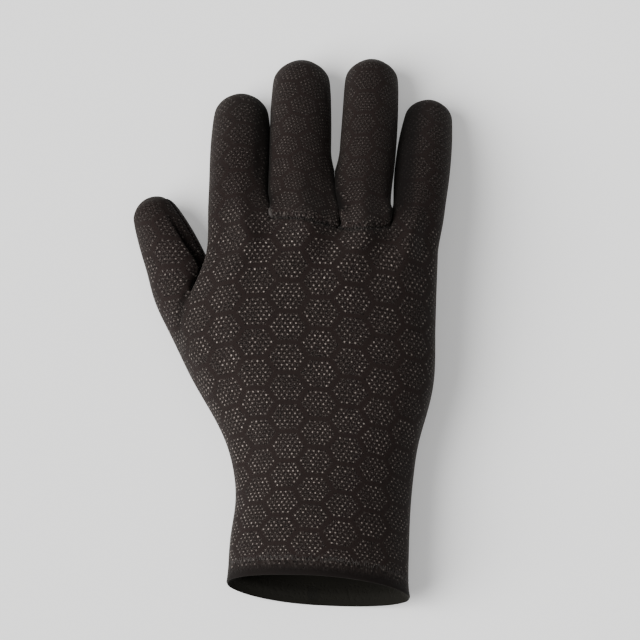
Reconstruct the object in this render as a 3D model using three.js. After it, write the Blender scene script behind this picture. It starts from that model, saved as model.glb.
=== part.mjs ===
// A right-hand diving glove in 3 mm neoprene, lying palm down on a flat surface with its fingers filled out.
// The glove is cut from one sheet into panels that are sewn edge to edge, so every panel is a curved wall: the
// back with the backs of the index finger, little finger and thumb; the backs of the middle and ring fingers,
// each sewn in across the knuckles; the palm with the fronts of all five; and the hem round the wrist opening.
// X runs from the thumb's side to the little finger's side, Y from the wrist to the fingertips, Z up.
import * as THREE from "three";

// Sizes in millimetres.
const wall = 3; // the neoprene with a jersey face on each side
const seamGap = 0.3; // between the edges of two panels
const hemWidth = 8;
const handLength = 176; // from the rim to the knuckles
const cuffWidth = 84;
const cuffDepth = 44;
const wristWidth = 81.4;
const wristDepth = 43;
const palmDepth = 50;
const palmHollow = 9.5; // how far the palm lifts off the surface under the knuckles
const rimSlant = 0.055; // how much longer the glove is for each millimetre towards the little finger
const rimRise = 2.4; // how much more the rim is cut away at the corner on the thumb's side
const fingerGap = 0.5; // between two fingers where they are closest
// length runs from the base to the tip, width and depth are the filled tube's, taper is how much it narrows.
const fingers = {
  index: { length: 72.5, width: 27.7, depth: 26, taper: 1 },
  middle: { length: 87.6, width: 28.7, depth: 27, taper: 0.8 },
  ring: { length: 91.8, width: 26.2, depth: 25.5, taper: 0.6 },
  little: { length: 77.8, width: 25.7, depth: 24, taper: 1.7 },
};
const thumb = { length: 86, width: 27, depth: 26.5 };

const sum = (numbers) => numbers.reduce((total, number) => total + number, 0);
// A table's rows as objects with the columns' names.
const table = (columns, rows) =>
  rows.map((row) => Object.fromEntries(columns.map((column, k) => [column, row[k]])));

const fingerNames = Object.keys(fingers);
const laneWidths = fingerNames.map((name) => fingers[name].width + fingerGap);
const palmWidth = sum(laneWidths) - fingerGap;

// The topology: each finger takes segmentsPerFinger columns of the back and of the palm, and so does each side.
const segmentsPerFinger = 4;
const topSegments = segmentsPerFinger * fingerNames.length;
const sideSegments = 4;
const ringSize = 2 * (topSegments + sideSegments);
const tubeSize = 2 * (segmentsPerFinger + sideSegments);
const seamSegment = 3; // the side seam runs below this many segments of a side, counted from the back
// How much of its base's outline each ring of a finger or of the thumb keeps.
const heldShares = { finger: [0.4, 0.12, 0, 0, 0, 0], thumb: [0.35, 0.1, 0, 0, 0, 0] };
const tubeRings = heldShares.finger.length;

// The rows of the hand: the rim, the hem's seam and on to the knuckles. follows names the sizes that a row
// takes its shares of. along is a share of the length between the hem's seam and the knuckles; thumbBack,
// thumbPalm and littleSide are the reach of the two sides as shares of half the width; top and the heights of
// the two sides are shares of the depth. lift, reach, slant and valley say how much of the palm's hollow, of the
// knuckles' curve, of the rim's slant and of the dips between the fingers a row has, valley as a share of the
// palm's depth. thumb is 1 for the rows that the thumb is sewn in between.
const hem = { width: cuffWidth, depth: cuffDepth, backPower: 1.85, palmPower: 2.2 };
const wrist = { width: wristWidth, depth: wristDepth, backPower: 2, palmPower: 2.5 };
const palm = { width: palmWidth, depth: palmDepth, backPower: 2.3, palmPower: 2.8 };
const handRows = table(
  [
    "follows", "along", "thumbBack", "thumbPalm", "littleSide", "top", "thumbHeight", "littleHeight",
    "lift", "reach", "slant", "valley", "thumb",
  ],
  [
    [hem, 0, 1.052, 1.052, 0.964, 1, 0.41, 0.41, 0.11, 0, 1, 0, 0],
    [hem, 0, 1.031, 1.031, 0.945, 1, 0.41, 0.41, 0.11, 0, 1, 0, 0],
    [wrist, 0.1, 1.039, 1.039, 0.983, 1.01, 0.42, 0.42, 0.05, 0, 0.6, 0, 0],
    [wrist, 0.205, 0.985, 0.985, 1.002, 1, 0.43, 0.43, 0, 0, 0.3, 0, 0],
    [wrist, 0.31, 0.97, 0.97, 1.045, 1.01, 0.44, 0.44, 0, 0, 0, 0, 0],
    [palm, 0.393, 0.785, 0.785, 0.815, 0.9, 0.4, 0.4, 0, 0, 0, 0, 0],
    [palm, 0.47, 0.942, 0.88, 0.88, 0.93, 0.44, 0.42, 0, 0, 0, 0, 1],
    [palm, 0.548, 1.1, 0.95, 0.935, 0.96, 0.46, 0.44, 0, 0, 0, 0, 1],
    [palm, 0.625, 1.18, 0.97, 0.953, 0.99, 0.48, 0.46, 0, 0, 0, 0, 1],
    [palm, 0.702, 1.22, 0.96, 0.955, 1.01, 0.5, 0.48, 0.02, 0, 0, 0, 1],
    [palm, 0.785, 1.2, 0.94, 0.962, 1.02, 0.53, 0.5, 0.12, 0.1, 0, 0.005, 1],
    [palm, 0.857, 1.06, 0.92, 0.968, 1.02, 0.6, 0.52, 0.35, 0.3, 0, 0.015, 0],
    [palm, 0.928, 0.95, 0.92, 0.975, 1.01, 0.62, 0.54, 0.7, 0.6, 0, 0.035, 0],
    [palm, 1, 0.965, 0.955, 0.985, 0.98, 0.6, 0.56, 1, 1, 0, 0.06, 0],
  ],
);
const lastRow = handRows.length - 1;
const rowsOfThumb = [...handRows.keys()].filter((row) => handRows[row].thumb);
const [firstOfThumb, lastOfThumb] = [rowsOfThumb[0], rowsOfThumb[rowsOfThumb.length - 1]];

// The knuckles' curve seen from above: how far each fork lies beyond handLength, as a share of it, at half
// height, on the back and on the palm. shift is how far it lies beside the line between the two fingers, as a
// share of the palm's width. The first and last rows are the two outer sides of the hand.
const forks = table(
  ["middle", "back", "front", "shift"],
  [
    [0, -0.017, -0.006, 0],
    [0.045, 0.02, 0.028, 0.02],
    [0.023, -0.006, 0.006, 0.052],
    [0, -0.028, -0.017, 0.026],
    [-0.05, -0.068, -0.057, 0],
  ],
);
const knuckleArch = { back: 0.032, middle: 0, front: 0.008 }; // how far a base dips between its forks

// How the fingers lie: lean and bow are sideways shares of the length, at the tip and at half length.
const fingerPoses = {
  index: { lean: 0.022, bow: 0 },
  middle: { lean: 0.012, bow: 0 },
  ring: { lean: 0.064, bow: 0.01 },
  little: { lean: 0.075, bow: -0.005 },
};
const knuckleShift = 0.0146; // how far the knuckles lie beside the wrist, as a share of the palm's width
const laneEntry = 8; // how soon a finger leaves the middle of its base loop for its own line
const curlPower = 1.7; // above 1 the fingers drop more and more towards their tips
const fingerProfile = [0.965, 0.98, 1, 1, 0.98, 0.93]; // width and depth of a finger's rings, towards its tip

// The thumb's rings from its base to its tip. left, forward and height place the centre, as shares of the
// thumb's length from the middle of the base and of its depth above the surface; width and depth are shares of
// its own; turn is the way it points, in degrees from straight ahead towards the left, and roll how far its back
// turns left.
const thumbRings = table(
  ["left", "forward", "height", "width", "depth", "turn", "roll"],
  [
    [0.075, 0.12, 0.68, 1.5, 1.12, 80, 6],
    [0.09, 0.29, 0.63, 1.22, 1.06, 52, 14],
    [0.115, 0.44, 0.58, 1.12, 1.04, 32, 22],
    [0.152, 0.575, 0.54, 1.06, 1.02, 20, 28],
    [0.202, 0.71, 0.49, 0.97, 0.96, 20, 32],
    [0.256, 0.845, 0.44, 0.8, 0.84, 22, 34],
  ],
);

const thumbEase = { passes: 5, share: 0.5 }; // how much the seam's surroundings even out

// A fingertip is a dome: the share of the tip's radius that each ring of it has, from its foot to its middle.
const tipDome = { foot: 0.88, inner: 0.52, corner: 0.6, height: 0.5 };
const tubePower = 2.15; // the roundness of a section: 2 is an ellipse, more is squarer
const topReach = 0.94; // the share of the half width that the back's and palm's columns span
const flattening = 0.024; // how far the palm would reach below the surface if it weren't flattened on it

const lerp = (a, b, t) => a + (b - a) * t;
const smooth = (t) => t * t * (3 - 2 * t);
const clamp01 = (t) => Math.min(1, Math.max(0, t));
const roundness = (share, power) => Math.pow(1 - Math.pow(Math.abs(share), power), 1 / power);
const onSurface = (point) => point.setZ(Math.max(0, point.z));

// All vertices of the outer face, and its quads with the panel that each belongs to.
const points = [];
const quads = [];
const addPoint = (point) => points.push(onSurface(point)) - 1;
const addQuad = (panel, a, b, c, d) => quads.push({ panel, corners: [a, b, c, d] });

// Between two fingers the back and the palm dip towards each other, and over a finger they swell a little.
const valleyShape = (step) => Math.cos((2 * Math.PI * step) / segmentsPerFinger);

// The distance of the finger base's line from the straight knuckle row, for a column of the back or the palm.
function knuckleReach(column, face) {
  const finger = Math.min(Math.floor(column / segmentsPerFinger), fingerNames.length - 1);
  const within = column / segmentsPerFinger - finger;
  const straight = lerp(forks[finger][face], forks[finger + 1][face], within);
  return handLength * (straight - knuckleArch[face] * Math.sin(Math.PI * within));
}

// Across the hand the columns follow the fingers' widths near the knuckles and are even at the wrist.
const forkShares = forks.map(({ shift }, k) => {
  if (k === 0) return -topReach;
  if (k === fingerNames.length) return topReach;
  return (2 * (sum(laneWidths.slice(0, k)) - fingerGap / 2)) / palmWidth - 1 + 2 * shift;
});
function columnShare(column, reach) {
  const even = topReach * ((2 * column) / topSegments - 1);
  const finger = Math.min(Math.floor(column / segmentsPerFinger), fingerNames.length - 1);
  const within = column / segmentsPerFinger - finger;
  return lerp(even, lerp(forkShares[finger], forkShares[finger + 1], within), reach);
}

// One row of the hand: across the back from the thumb's side, down the far side, back across the palm, and up.
function handRow(row, index) {
  const { width, depth, backPower, palmPower } = row.follows;
  const half = width / 2;
  const top = row.top * depth;
  const bottom = row.lift * palmHollow - flattening * palmDepth * (1 - row.lift);
  const rowY = index === 0 ? 0 : hemWidth + row.along * (handLength - hemWidth);
  const edgeHeight = (share) => lerp(row.thumbHeight, row.littleHeight, (share + 1) / 2) * depth;
  const thumbSide = (level) => lerp(row.thumbBack, row.thumbPalm, smooth(clamp01(-level / 0.52)));
  const across = (share, level) => half * lerp(-thumbSide(level), row.littleSide, (share + 1) / 2);
  const valleyAt = (column) =>
    column % topSegments === 0 ? 0 : row.valley * palmDepth * valleyShape(column % segmentsPerFinger);
  const place = (share, level, column, face) => {
    const side = edgeHeight(share);
    const x = across(share, level);
    const outward = level >= 0 ? lerp(side, top, level) : lerp(side, bottom, -level);
    const z = outward - Math.sign(level) * valleyAt(column);
    const cutAway = rimRise * Math.pow(Math.max(0, -x / half), 2) - rimSlant * x;
    return new THREE.Vector3(x, rowY + row.slant * cutAway + row.reach * knuckleReach(column, face), z);
  };
  const made = [];
  for (let column = 0; column <= topSegments; column += 1) {
    const share = columnShare(column, row.reach);
    made.push(place(share, roundness(share, backPower), column, "back"));
  }
  const backEdge = roundness(topReach, backPower);
  const palmEdge = -roundness(topReach, palmPower);
  const sideLevels = [backEdge / 2, 0, palmEdge / 2];
  const sideFaces = ["back", "middle", "front"];
  sideLevels.forEach((level, k) => {
    made.push(place(roundness(level, level < 0 ? palmPower : backPower), level, topSegments, sideFaces[k]));
  });
  for (let column = topSegments; column >= 0; column -= 1) {
    const share = columnShare(column, row.reach);
    made.push(place(share, -roundness(share, palmPower), column, "front"));
  }
  [...sideLevels].reverse().forEach((level, k) => {
    const share = -roundness(level, level < 0 ? palmPower : backPower);
    made.push(place(share, level, 0, [...sideFaces].reverse()[k]));
  });
  return made;
}

const isBackColumn = (column, size, span) =>
  column < span + seamSegment || column >= size - seamSegment;
const insideThumbBase = (row, column) =>
  row >= firstOfThumb && row < lastOfThumb && column >= ringSize - sideSegments;

const hand = handRows.map((row, index) => {
  const made = handRow(row, index);
  return made.map((point, column) => {
    const hidden = index > firstOfThumb && index < lastOfThumb && column > ringSize - sideSegments;
    return hidden ? null : addPoint(point);
  });
});
for (let row = 0; row < lastRow; row += 1) {
  for (let column = 0; column < ringSize; column += 1) {
    if (insideThumbBase(row, column)) continue;
    const next = (column + 1) % ringSize;
    const facing = isBackColumn(column, ringSize, topSegments) ? "back_panel" : "palm_panel";
    const panel = row === 0 ? "cuff_hem" : facing;
    addQuad(panel, hand[row][column], hand[row][next], hand[row + 1][next], hand[row + 1][column]);
  }
}

// A tube's ring of points round a centre: across the back, down the right side, across the front, and up.
function tubeRing(centre, right, up, width, depth) {
  const made = [];
  for (let k = 0; k < tubeSize; k += 1) {
    const angle = (0.75 - (2 * k) / tubeSize) * Math.PI;
    const grown = Math.pow(
      Math.pow(Math.abs(Math.cos(angle)), tubePower) + Math.pow(Math.abs(Math.sin(angle)), tubePower),
      -1 / tubePower,
    );
    const point = centre.clone();
    point.addScaledVector(right, (width / 2) * grown * Math.cos(angle));
    point.addScaledVector(up, (depth / 2) * grown * Math.sin(angle));
    made.push(point);
  }
  return made;
}

// Joins a base loop to a row of rings and closes the end with a dome. frames holds each ring's centre, right,
// up, ahead, width and depth, and held how much of the base loop's own outline it keeps.
function addTube(loop, frames, panels) {
  const centreOf = (loopPoints) =>
    loopPoints.reduce((total, point) => total.add(point), new THREE.Vector3()).divideScalar(loopPoints.length);
  const loopPoints = loop.map((index) => points[index]);
  const middle = centreOf(loopPoints);
  const rings = [loop];
  const addRing = (ring) => rings.push(ring.map(addPoint));
  frames.forEach((frame) => {
    const ring = tubeRing(frame.centre, frame.right, frame.up, frame.width, frame.depth);
    ring.forEach((point, k) => {
      point.lerp(loopPoints[k].clone().sub(middle).add(frame.centre), frame.held);
    });
    addRing(ring);
  });
  const end = frames[frames.length - 1];
  const domeLength = tipDome.height * end.width;
  const domePoint = (across, upward, share) => {
    const point = end.centre.clone();
    point.addScaledVector(end.right, (end.width / 2) * across * share);
    point.addScaledVector(end.up, (end.depth / 2) * upward * share);
    return point.addScaledVector(end.ahead, domeLength * Math.sqrt(1 - share * share));
  };
  const foot = [];
  for (let k = 0; k < tubeSize; k += 1) {
    const angle = (0.75 - (2 * k) / tubeSize) * Math.PI;
    foot.push(domePoint(Math.cos(angle), Math.sin(angle), tipDome.foot));
  }
  addRing(foot);
  rings.slice(1).forEach((ring, r) => {
    const before = rings[r];
    ring.forEach((_, k) => {
      const next = (k + 1) % tubeSize;
      const panel = isBackColumn(k, tubeSize, segmentsPerFinger) ? panels.back : panels.front;
      addQuad(panel, before[k], before[next], ring[next], ring[k]);
    });
  });
  const rim = rings[rings.length - 1];
  const size = segmentsPerFinger;
  const grid = [];
  for (let b = 0; b <= size; b += 1) {
    grid.push([]);
    for (let a = 0; a <= size; a += 1) {
      if (b === 0) grid[b].push(rim[a]);
      else if (a === size) grid[b].push(rim[size + b]);
      else if (b === size) grid[b].push(rim[3 * size - a]);
      else if (a === 0) grid[b].push(rim[4 * size - b]);
      else {
        const across = (2 * a) / size - 1;
        const upward = 1 - (2 * b) / size;
        const distance = Math.hypot(across, upward);
        const share = distance === 0 ? 0 : across * upward === 0 ? tipDome.inner : tipDome.corner;
        const scale = distance === 0 ? 0 : 1 / distance;
        grid[b].push(addPoint(domePoint(across * scale, upward * scale, share)));
      }
    }
  }
  for (let b = 0; b < size; b += 1) {
    for (let a = 0; a < size; a += 1) {
      const panel = b < seamSegment ? panels.back : panels.front;
      addQuad(panel, grid[b][a], grid[b][a + 1], grid[b + 1][a + 1], grid[b + 1][a]);
    }
  }
}

// The forks between the fingers: three points from the back's edge to the palm's edge of the knuckle row.
const knuckles = hand[lastRow];
const palmColumn = (column) => 2 * topSegments + sideSegments - column;
const forkArcs = forks.map((fork, k) => {
  const column = k * segmentsPerFinger;
  if (k === 0) return [ringSize - 1, ringSize - 2, ringSize - 3].map((index) => knuckles[index]);
  if (k === fingerNames.length) return [1, 2, 3].map((step) => knuckles[topSegments + step]);
  const back = points[knuckles[column]];
  const front = points[knuckles[palmColumn(column)]];
  const reach = handLength * (1 + fork.middle) - (back.y + front.y) / 2;
  return [0.25, 0.5, 0.75].map((t) => {
    const point = back.clone().lerp(front, t);
    point.y += reach * Math.sin(Math.PI * t);
    return addPoint(point);
  });
});

fingerNames.forEach((name, k) => {
  const { length, width, depth, taper } = fingers[name];
  const { lean, bow } = fingerPoses[name];
  const first = k * segmentsPerFinger;
  const steps = [...Array(segmentsPerFinger + 1).keys()];
  const back = steps.map((step) => knuckles[first + step]);
  const front = steps.map((step) => knuckles[palmColumn(first + segmentsPerFinger - step)]);
  const loop = [...back, ...forkArcs[k + 1], ...front, ...[...forkArcs[k]].reverse()];
  const middle = new THREE.Vector3();
  loop.forEach((index) => middle.add(points[index]));
  middle.divideScalar(loop.length);
  const profile = fingerProfile.map((share) => Math.pow(share, taper));
  const run = length - tipDome.height * width * profile[tubeRings - 1];
  const tipHeight = (depth * profile[tubeRings - 1]) / 2 - flattening * depth;
  const lane = sum(laneWidths.slice(0, k)) + width / 2 - palmWidth / 2 + knuckleShift * palmWidth;
  const along = (t) => {
    const entering = Math.pow(1 - Math.min(1, t), laneEntry);
    const sideways = length * (lean * t + bow * 4 * t * (1 - t));
    const height = lerp(middle.z, tipHeight, Math.pow(t, curlPower));
    return new THREE.Vector3(lerp(lane, middle.x, entering) + sideways, middle.y + run * t, height);
  };
  const frames = profile.map((share, j) => {
    const t = (j + 1) / tubeRings;
    const ahead = along(t + 0.01).sub(along(t - 0.01)).normalize();
    const up = new THREE.Vector3(0, 0, 1).addScaledVector(ahead, -ahead.z).normalize();
    const right = new THREE.Vector3().crossVectors(ahead, up);
    const held = heldShares.finger[j];
    return { centre: along(t), right, up, ahead, width: width * share, depth: depth * share, held };
  });
  const own = name === "middle" || name === "ring";
  addTube(loop, frames, { back: own ? name + "_finger_back" : "back_panel", front: "palm_panel" });
});

// The thumb's base loop: up the back's edge, down the web, back along the palm's edge, up the wrist's side.
const thumbLoop = [
  ...rowsOfThumb.map((row) => hand[row][0]),
  ...[1, 2, 3].map((step) => hand[lastOfThumb][ringSize - step]),
  ...[...rowsOfThumb].reverse().map((row) => hand[row][ringSize - sideSegments]),
  ...[3, 2, 1].map((step) => hand[firstOfThumb][ringSize - step]),
];
const thumbBase = new THREE.Vector3();
thumbLoop.forEach((index) => thumbBase.add(points[index]));
thumbBase.divideScalar(thumbLoop.length);
const thumbFrames = thumbRings.map((ring, j) => {
  const turn = THREE.MathUtils.degToRad(ring.turn);
  const roll = THREE.MathUtils.degToRad(ring.roll);
  const before = thumbRings[j - 1] ?? { forward: 0, height: thumbBase.z / thumb.depth };
  const rise = (ring.height - before.height) * thumb.depth;
  const climb = rise / ((ring.forward - before.forward) * thumb.length);
  const ahead = new THREE.Vector3(-Math.sin(turn), Math.cos(turn), j < 2 ? 0 : climb).normalize();
  const level = new THREE.Vector3(Math.cos(turn), Math.sin(turn), 0);
  const upright = new THREE.Vector3().crossVectors(level, ahead);
  const right = level.clone().applyAxisAngle(ahead, -roll);
  const up = upright.clone().applyAxisAngle(ahead, -roll);
  const centre = new THREE.Vector3(
    thumbBase.x - ring.left * thumb.length,
    thumbBase.y + ring.forward * thumb.length,
    ring.height * thumb.depth,
  );
  const width = ring.width * thumb.width;
  const depth = ring.depth * thumb.depth;
  return { centre, right, up, ahead, width, depth, held: heldShares.thumb[j] };
});
addTube(thumbLoop, thumbFrames, { back: "back_panel", front: "palm_panel" });

// Where the thumb is sewn in, the neoprene stretches into a smooth curve: each point near its base moves
// towards the middle of its neighbours, a few times over.
const neighbours = points.map(() => new Set());
quads.forEach(({ corners }) =>
  corners.forEach((index, k) => {
    neighbours[index].add(corners[(k + 1) % 4]);
    neighbours[index].add(corners[(k + 3) % 4]);
  }),
);
const spread = (indices) => new Set([...indices].flatMap((index) => [index, ...neighbours[index]]));
const nearThumb = spread(spread(thumbLoop));
for (let pass = 0; pass < thumbEase.passes; pass += 1) {
  const moved = [...nearThumb].map((index) => {
    const around = [...neighbours[index]].map((other) => points[other]);
    const middle = around.reduce((total, point) => total.add(point), new THREE.Vector3());
    return [index, middle.divideScalar(around.length)];
  });
  moved.forEach(([index, middle]) => onSurface(points[index].lerp(middle, thumbEase.share)));
}

// Area-weighted normals of the whole outer face, shared by all panels so that their edges stay parallel.
const normals = points.map(() => new THREE.Vector3());
const faceNormal = (corners) => {
  const [a, b, c, d] = corners.map((index) => points[index]);
  return new THREE.Vector3().crossVectors(c.clone().sub(a), d.clone().sub(b));
};
quads.forEach(({ corners }) => {
  const normal = faceNormal(corners);
  corners.forEach((index) => normals[index].add(normal));
});
normals.forEach((normal) => normal.normalize());

// Both panels of a seam split each piece of its strip along the same diagonal, the shorter one, so that the
// gap stays open where the seam twists: from the outer start to the inner end, or the other way.
const insideOf = (index) => points[index].clone().addScaledVector(normals[index], -wall);
const isShorterFrom = (start, end) =>
  points[start].distanceTo(insideOf(end)) < points[end].distanceTo(insideOf(start));

// One panel as a closed wall: its outer quads, the same quads wall deep inside, and a strip round every edge.
// Where it is sewn to another panel its edge is drawn back by half the seam's gap.
function panelGeometry(name) {
  const own = quads.filter((quad) => quad.panel === name);
  const edges = new Map();
  own.forEach(({ corners }) =>
    corners.forEach((start, k) => {
      const end = corners[(k + 1) % 4];
      edges.set(start + ":" + end, { start, end, corners });
    }),
  );
  const isFree = ({ start, end }) => !edges.has(end + ":" + start);
  const border = [...edges.values()].filter(isFree);
  const shifts = new Map();
  const rim = new Set(hand[0]);
  border.forEach(({ start, end, corners }) => {
    if (rim.has(start) && rim.has(end)) return;
    const along = points[end].clone().sub(points[start]);
    const inward = new THREE.Vector3().crossVectors(faceNormal(corners), along).normalize();
    [start, end].forEach((index) => {
      if (!shifts.has(index)) shifts.set(index, []);
      shifts.get(index).push(inward);
    });
  });
  const outer = new Map();
  own.forEach(({ corners }) =>
    corners.forEach((index) => {
      if (outer.has(index)) return;
      const point = points[index].clone();
      const inwards = shifts.get(index) ?? [];
      const total = inwards.reduce((all, inward) => all.add(inward), new THREE.Vector3());
      const size = total.lengthSq();
      if (size > 0.05) point.addScaledVector(total, ((seamGap / 2) * inwards.length) / size);
      outer.set(index, point);
    }),
  );
  const coordinates = [];
  const outerAt = (index) => outer.get(index);
  const innerAt = (index) => outer.get(index).clone().addScaledVector(normals[index], -wall);
  const triangle = (a, b, c) => [a, b, c].forEach((point) => coordinates.push(point.x, point.y, point.z));
  own.forEach(({ corners: [a, b, c, d] }) => {
    triangle(outerAt(a), outerAt(b), outerAt(c));
    triangle(outerAt(a), outerAt(c), outerAt(d));
    triangle(innerAt(c), innerAt(b), innerAt(a));
    triangle(innerAt(d), innerAt(c), innerAt(a));
  });
  border.forEach(({ start, end }) => {
    const fromStart = isShorterFrom(start, end);
    triangle(outerAt(end), outerAt(start), fromStart ? innerAt(end) : innerAt(start));
    triangle(fromStart ? outerAt(start) : outerAt(end), innerAt(start), innerAt(end));
  });
  const geometry = new THREE.BufferGeometry();
  geometry.setAttribute("position", new THREE.Float32BufferAttribute(coordinates, 3));
  geometry.computeVertexNormals();
  return geometry;
}

// Colours of the black jersey, and of the plain folded hem.
const jersey = new THREE.MeshStandardMaterial({ color: 0x2a2523, roughness: 0.82, metalness: 0 });
const hemCloth = new THREE.MeshStandardMaterial({ color: 0x1a1817, roughness: 0.88, metalness: 0 });

const glove = new THREE.Group();
[...new Set(quads.map((quad) => quad.panel))].forEach((name) => {
  const mesh = new THREE.Mesh(panelGeometry(name), name === "cuff_hem" ? hemCloth : jersey);
  mesh.name = name;
  glove.add(mesh);
});

// The origin is the middle of the glove's box, on the surface that it lies on.
const box = new THREE.Box3().setFromObject(glove);
const centre = box.getCenter(new THREE.Vector3());
glove.position.set(-centre.x, -centre.y, -box.min.z);

export default glove;
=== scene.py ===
import math

import bpy
import numpy as np
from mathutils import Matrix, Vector


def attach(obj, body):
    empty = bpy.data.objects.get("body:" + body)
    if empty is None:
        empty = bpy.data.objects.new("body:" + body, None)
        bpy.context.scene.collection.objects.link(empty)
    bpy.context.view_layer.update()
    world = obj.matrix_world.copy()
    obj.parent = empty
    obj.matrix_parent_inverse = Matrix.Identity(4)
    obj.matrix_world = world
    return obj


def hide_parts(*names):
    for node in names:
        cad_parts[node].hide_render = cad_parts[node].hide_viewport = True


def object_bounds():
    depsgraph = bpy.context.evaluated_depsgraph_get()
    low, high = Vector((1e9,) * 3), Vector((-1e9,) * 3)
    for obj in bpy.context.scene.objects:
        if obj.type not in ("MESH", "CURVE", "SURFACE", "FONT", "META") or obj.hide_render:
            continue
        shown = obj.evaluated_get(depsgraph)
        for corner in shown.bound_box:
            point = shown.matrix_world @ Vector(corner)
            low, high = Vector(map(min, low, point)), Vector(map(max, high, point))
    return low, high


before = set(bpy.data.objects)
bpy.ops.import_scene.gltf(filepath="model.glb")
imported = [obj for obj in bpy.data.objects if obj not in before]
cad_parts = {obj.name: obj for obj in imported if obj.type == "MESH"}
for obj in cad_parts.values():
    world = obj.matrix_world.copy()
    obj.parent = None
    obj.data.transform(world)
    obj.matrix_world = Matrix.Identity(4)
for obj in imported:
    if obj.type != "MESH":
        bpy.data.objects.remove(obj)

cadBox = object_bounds()
print("packed glove loaded:", sorted(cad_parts))

# Lengths are in millimetres until a mesh is made. The origin is first under the middle of the rim, X runs
# towards the little finger, Y towards the fingertips, Z up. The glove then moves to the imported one's middle.
gloveSizes = {
    "wall": 3.0,  # neoprene with a jersey face on each side
    "hemWidth": 8.0,
    "handLength": 176.0,  # from the rim to the knuckles
    "palmHollow": 9.5,
    "rimSlant": 0.055,
    "rimRise": 2.4,
    "fingerGap": 0.5,
    "flattening": 0.024,
    "topReach": 0.94,
    "thumbSideTurn": 0.52,  # over this level the thumb's side turns from the back's reach to the palm's
    "fitPasses": 4,  # how often the net is moved so that the smooth surface goes through its points
    "smoothness": 3,  # each level cuts every quad of the coarse net in four
}
sections = {  # width, depth and the roundness of the back and of the palm
    "hem": (84.0, 44.0, 1.85, 2.2),
    "wrist": (81.4, 43.0, 2.0, 2.5),
    "palm": (None, 50.0, 2.3, 2.8),
}
# section, then along, the reach of the thumb's side on the back and the palm, of the little finger's
# side, the top, the heights of both sides, and the shares of hollow, knuckle curve, rim slant and valleys
handRows = [
    ("hem", 0, 1.052, 1.052, 0.964, 1, 0.41, 0.41, 0.11, 0, 1, 0),
    ("hem", 0, 1.031, 1.031, 0.945, 1, 0.41, 0.41, 0.11, 0, 1, 0),
    ("wrist", 0.1, 1.039, 1.039, 0.983, 1.01, 0.42, 0.42, 0.05, 0, 0.6, 0),
    ("wrist", 0.205, 0.985, 0.985, 1.002, 1, 0.43, 0.43, 0, 0, 0.3, 0),
    ("wrist", 0.31, 0.97, 0.97, 1.045, 1.01, 0.44, 0.44, 0, 0, 0, 0),
    ("palm", 0.393, 0.785, 0.785, 0.815, 0.9, 0.4, 0.4, 0, 0, 0, 0),
    ("palm", 0.47, 0.942, 0.88, 0.88, 0.93, 0.44, 0.42, 0, 0, 0, 0),
    ("palm", 0.548, 1.1, 0.95, 0.935, 0.96, 0.46, 0.44, 0, 0, 0, 0),
    ("palm", 0.625, 1.18, 0.97, 0.953, 0.99, 0.48, 0.46, 0, 0, 0, 0),
    ("palm", 0.702, 1.22, 0.96, 0.955, 1.01, 0.5, 0.48, 0.02, 0, 0, 0),
    ("palm", 0.785, 1.2, 0.94, 0.962, 1.02, 0.53, 0.5, 0.12, 0.1, 0, 0.005),
    ("palm", 0.857, 1.06, 0.92, 0.968, 1.02, 0.6, 0.52, 0.35, 0.3, 0, 0.015),
    ("palm", 0.928, 0.95, 0.92, 0.975, 1.01, 0.62, 0.54, 0.7, 0.6, 0, 0.035),
    ("palm", 1, 0.965, 0.955, 0.985, 0.98, 0.6, 0.56, 1, 1, 0, 0.06),
]
firstOfThumb, lastOfThumb = 6, 10
fingers = {  # length, width, depth, taper, lean, bow
    "index": (72.5, 27.7, 26.0, 1.0, 0.022, 0.0),
    "middle": (87.6, 28.7, 27.0, 0.8, 0.012, 0.0),
    "ring": (91.8, 26.2, 25.5, 0.6, 0.064, 0.01),
    "little": (77.8, 25.7, 24.0, 1.7, 0.075, -0.005),
}
fingerShape = {
    "profile": [0.965, 0.98, 1, 1, 0.98, 0.93],
    "held": [0.4, 0.12, 0, 0, 0, 0],
    "laneEntry": 8,
    "curlPower": 1.7,
    "knuckleShift": 0.0146,
}
# middle, back and front reach of each fork, and its shift to the side
forks = np.array([
    [0, -0.017, -0.006, 0],
    [0.045, -0.002, 0.028, 0.02],
    [0.023, -0.034, 0.006, 0.052],
    [0, -0.028, -0.017, 0.026],
    [-0.05, -0.068, -0.057, 0],
])
# how far each finger's base dips between its forks, at half height, on the back and on the palm
knuckleArch = np.array([[0, 0, 0, 0], [0.036, 0.006, 0.017, 0.032], [0.008, 0.008, 0.008, 0.008]])
thumbShape = {
    "size": (86.0, 27.0, 26.5),
    "held": [0.35, 0.1, 0, 0, 0, 0],
    # left, forward, height, width, depth, turn and roll of each ring
    "rings": [
        [0.075, 0.12, 0.68, 1.5, 1.12, 80, 6],
        [0.09, 0.29, 0.63, 1.22, 1.06, 52, 22],
        [0.115, 0.44, 0.58, 1.12, 1.04, 32, 40],
        [0.152, 0.575, 0.54, 1.06, 1.02, 20, 52],
        [0.202, 0.71, 0.49, 0.97, 0.96, 20, 58],
        [0.256, 0.845, 0.44, 0.8, 0.84, 22, 60],
    ],
    "easePasses": 5,  # how often the base is eased, and how many edges away from the seam
    "easeReach": 2,
}
tipDome = {"foot": 0.88, "inner": 0.52, "corner": 0.6, "height": 0.5, "power": 2.15}
panelNames = ["cuff_hem", "back_panel", "palm_panel", "middle_finger_back", "ring_finger_back"]
hemPanel, backPanel, palmPanel, firstFingerBack = 0, 1, 2, 3
fingerPanels = {"index": 1, "middle": 3, "ring": 4, "little": 1, "thumb": 1}

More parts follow.
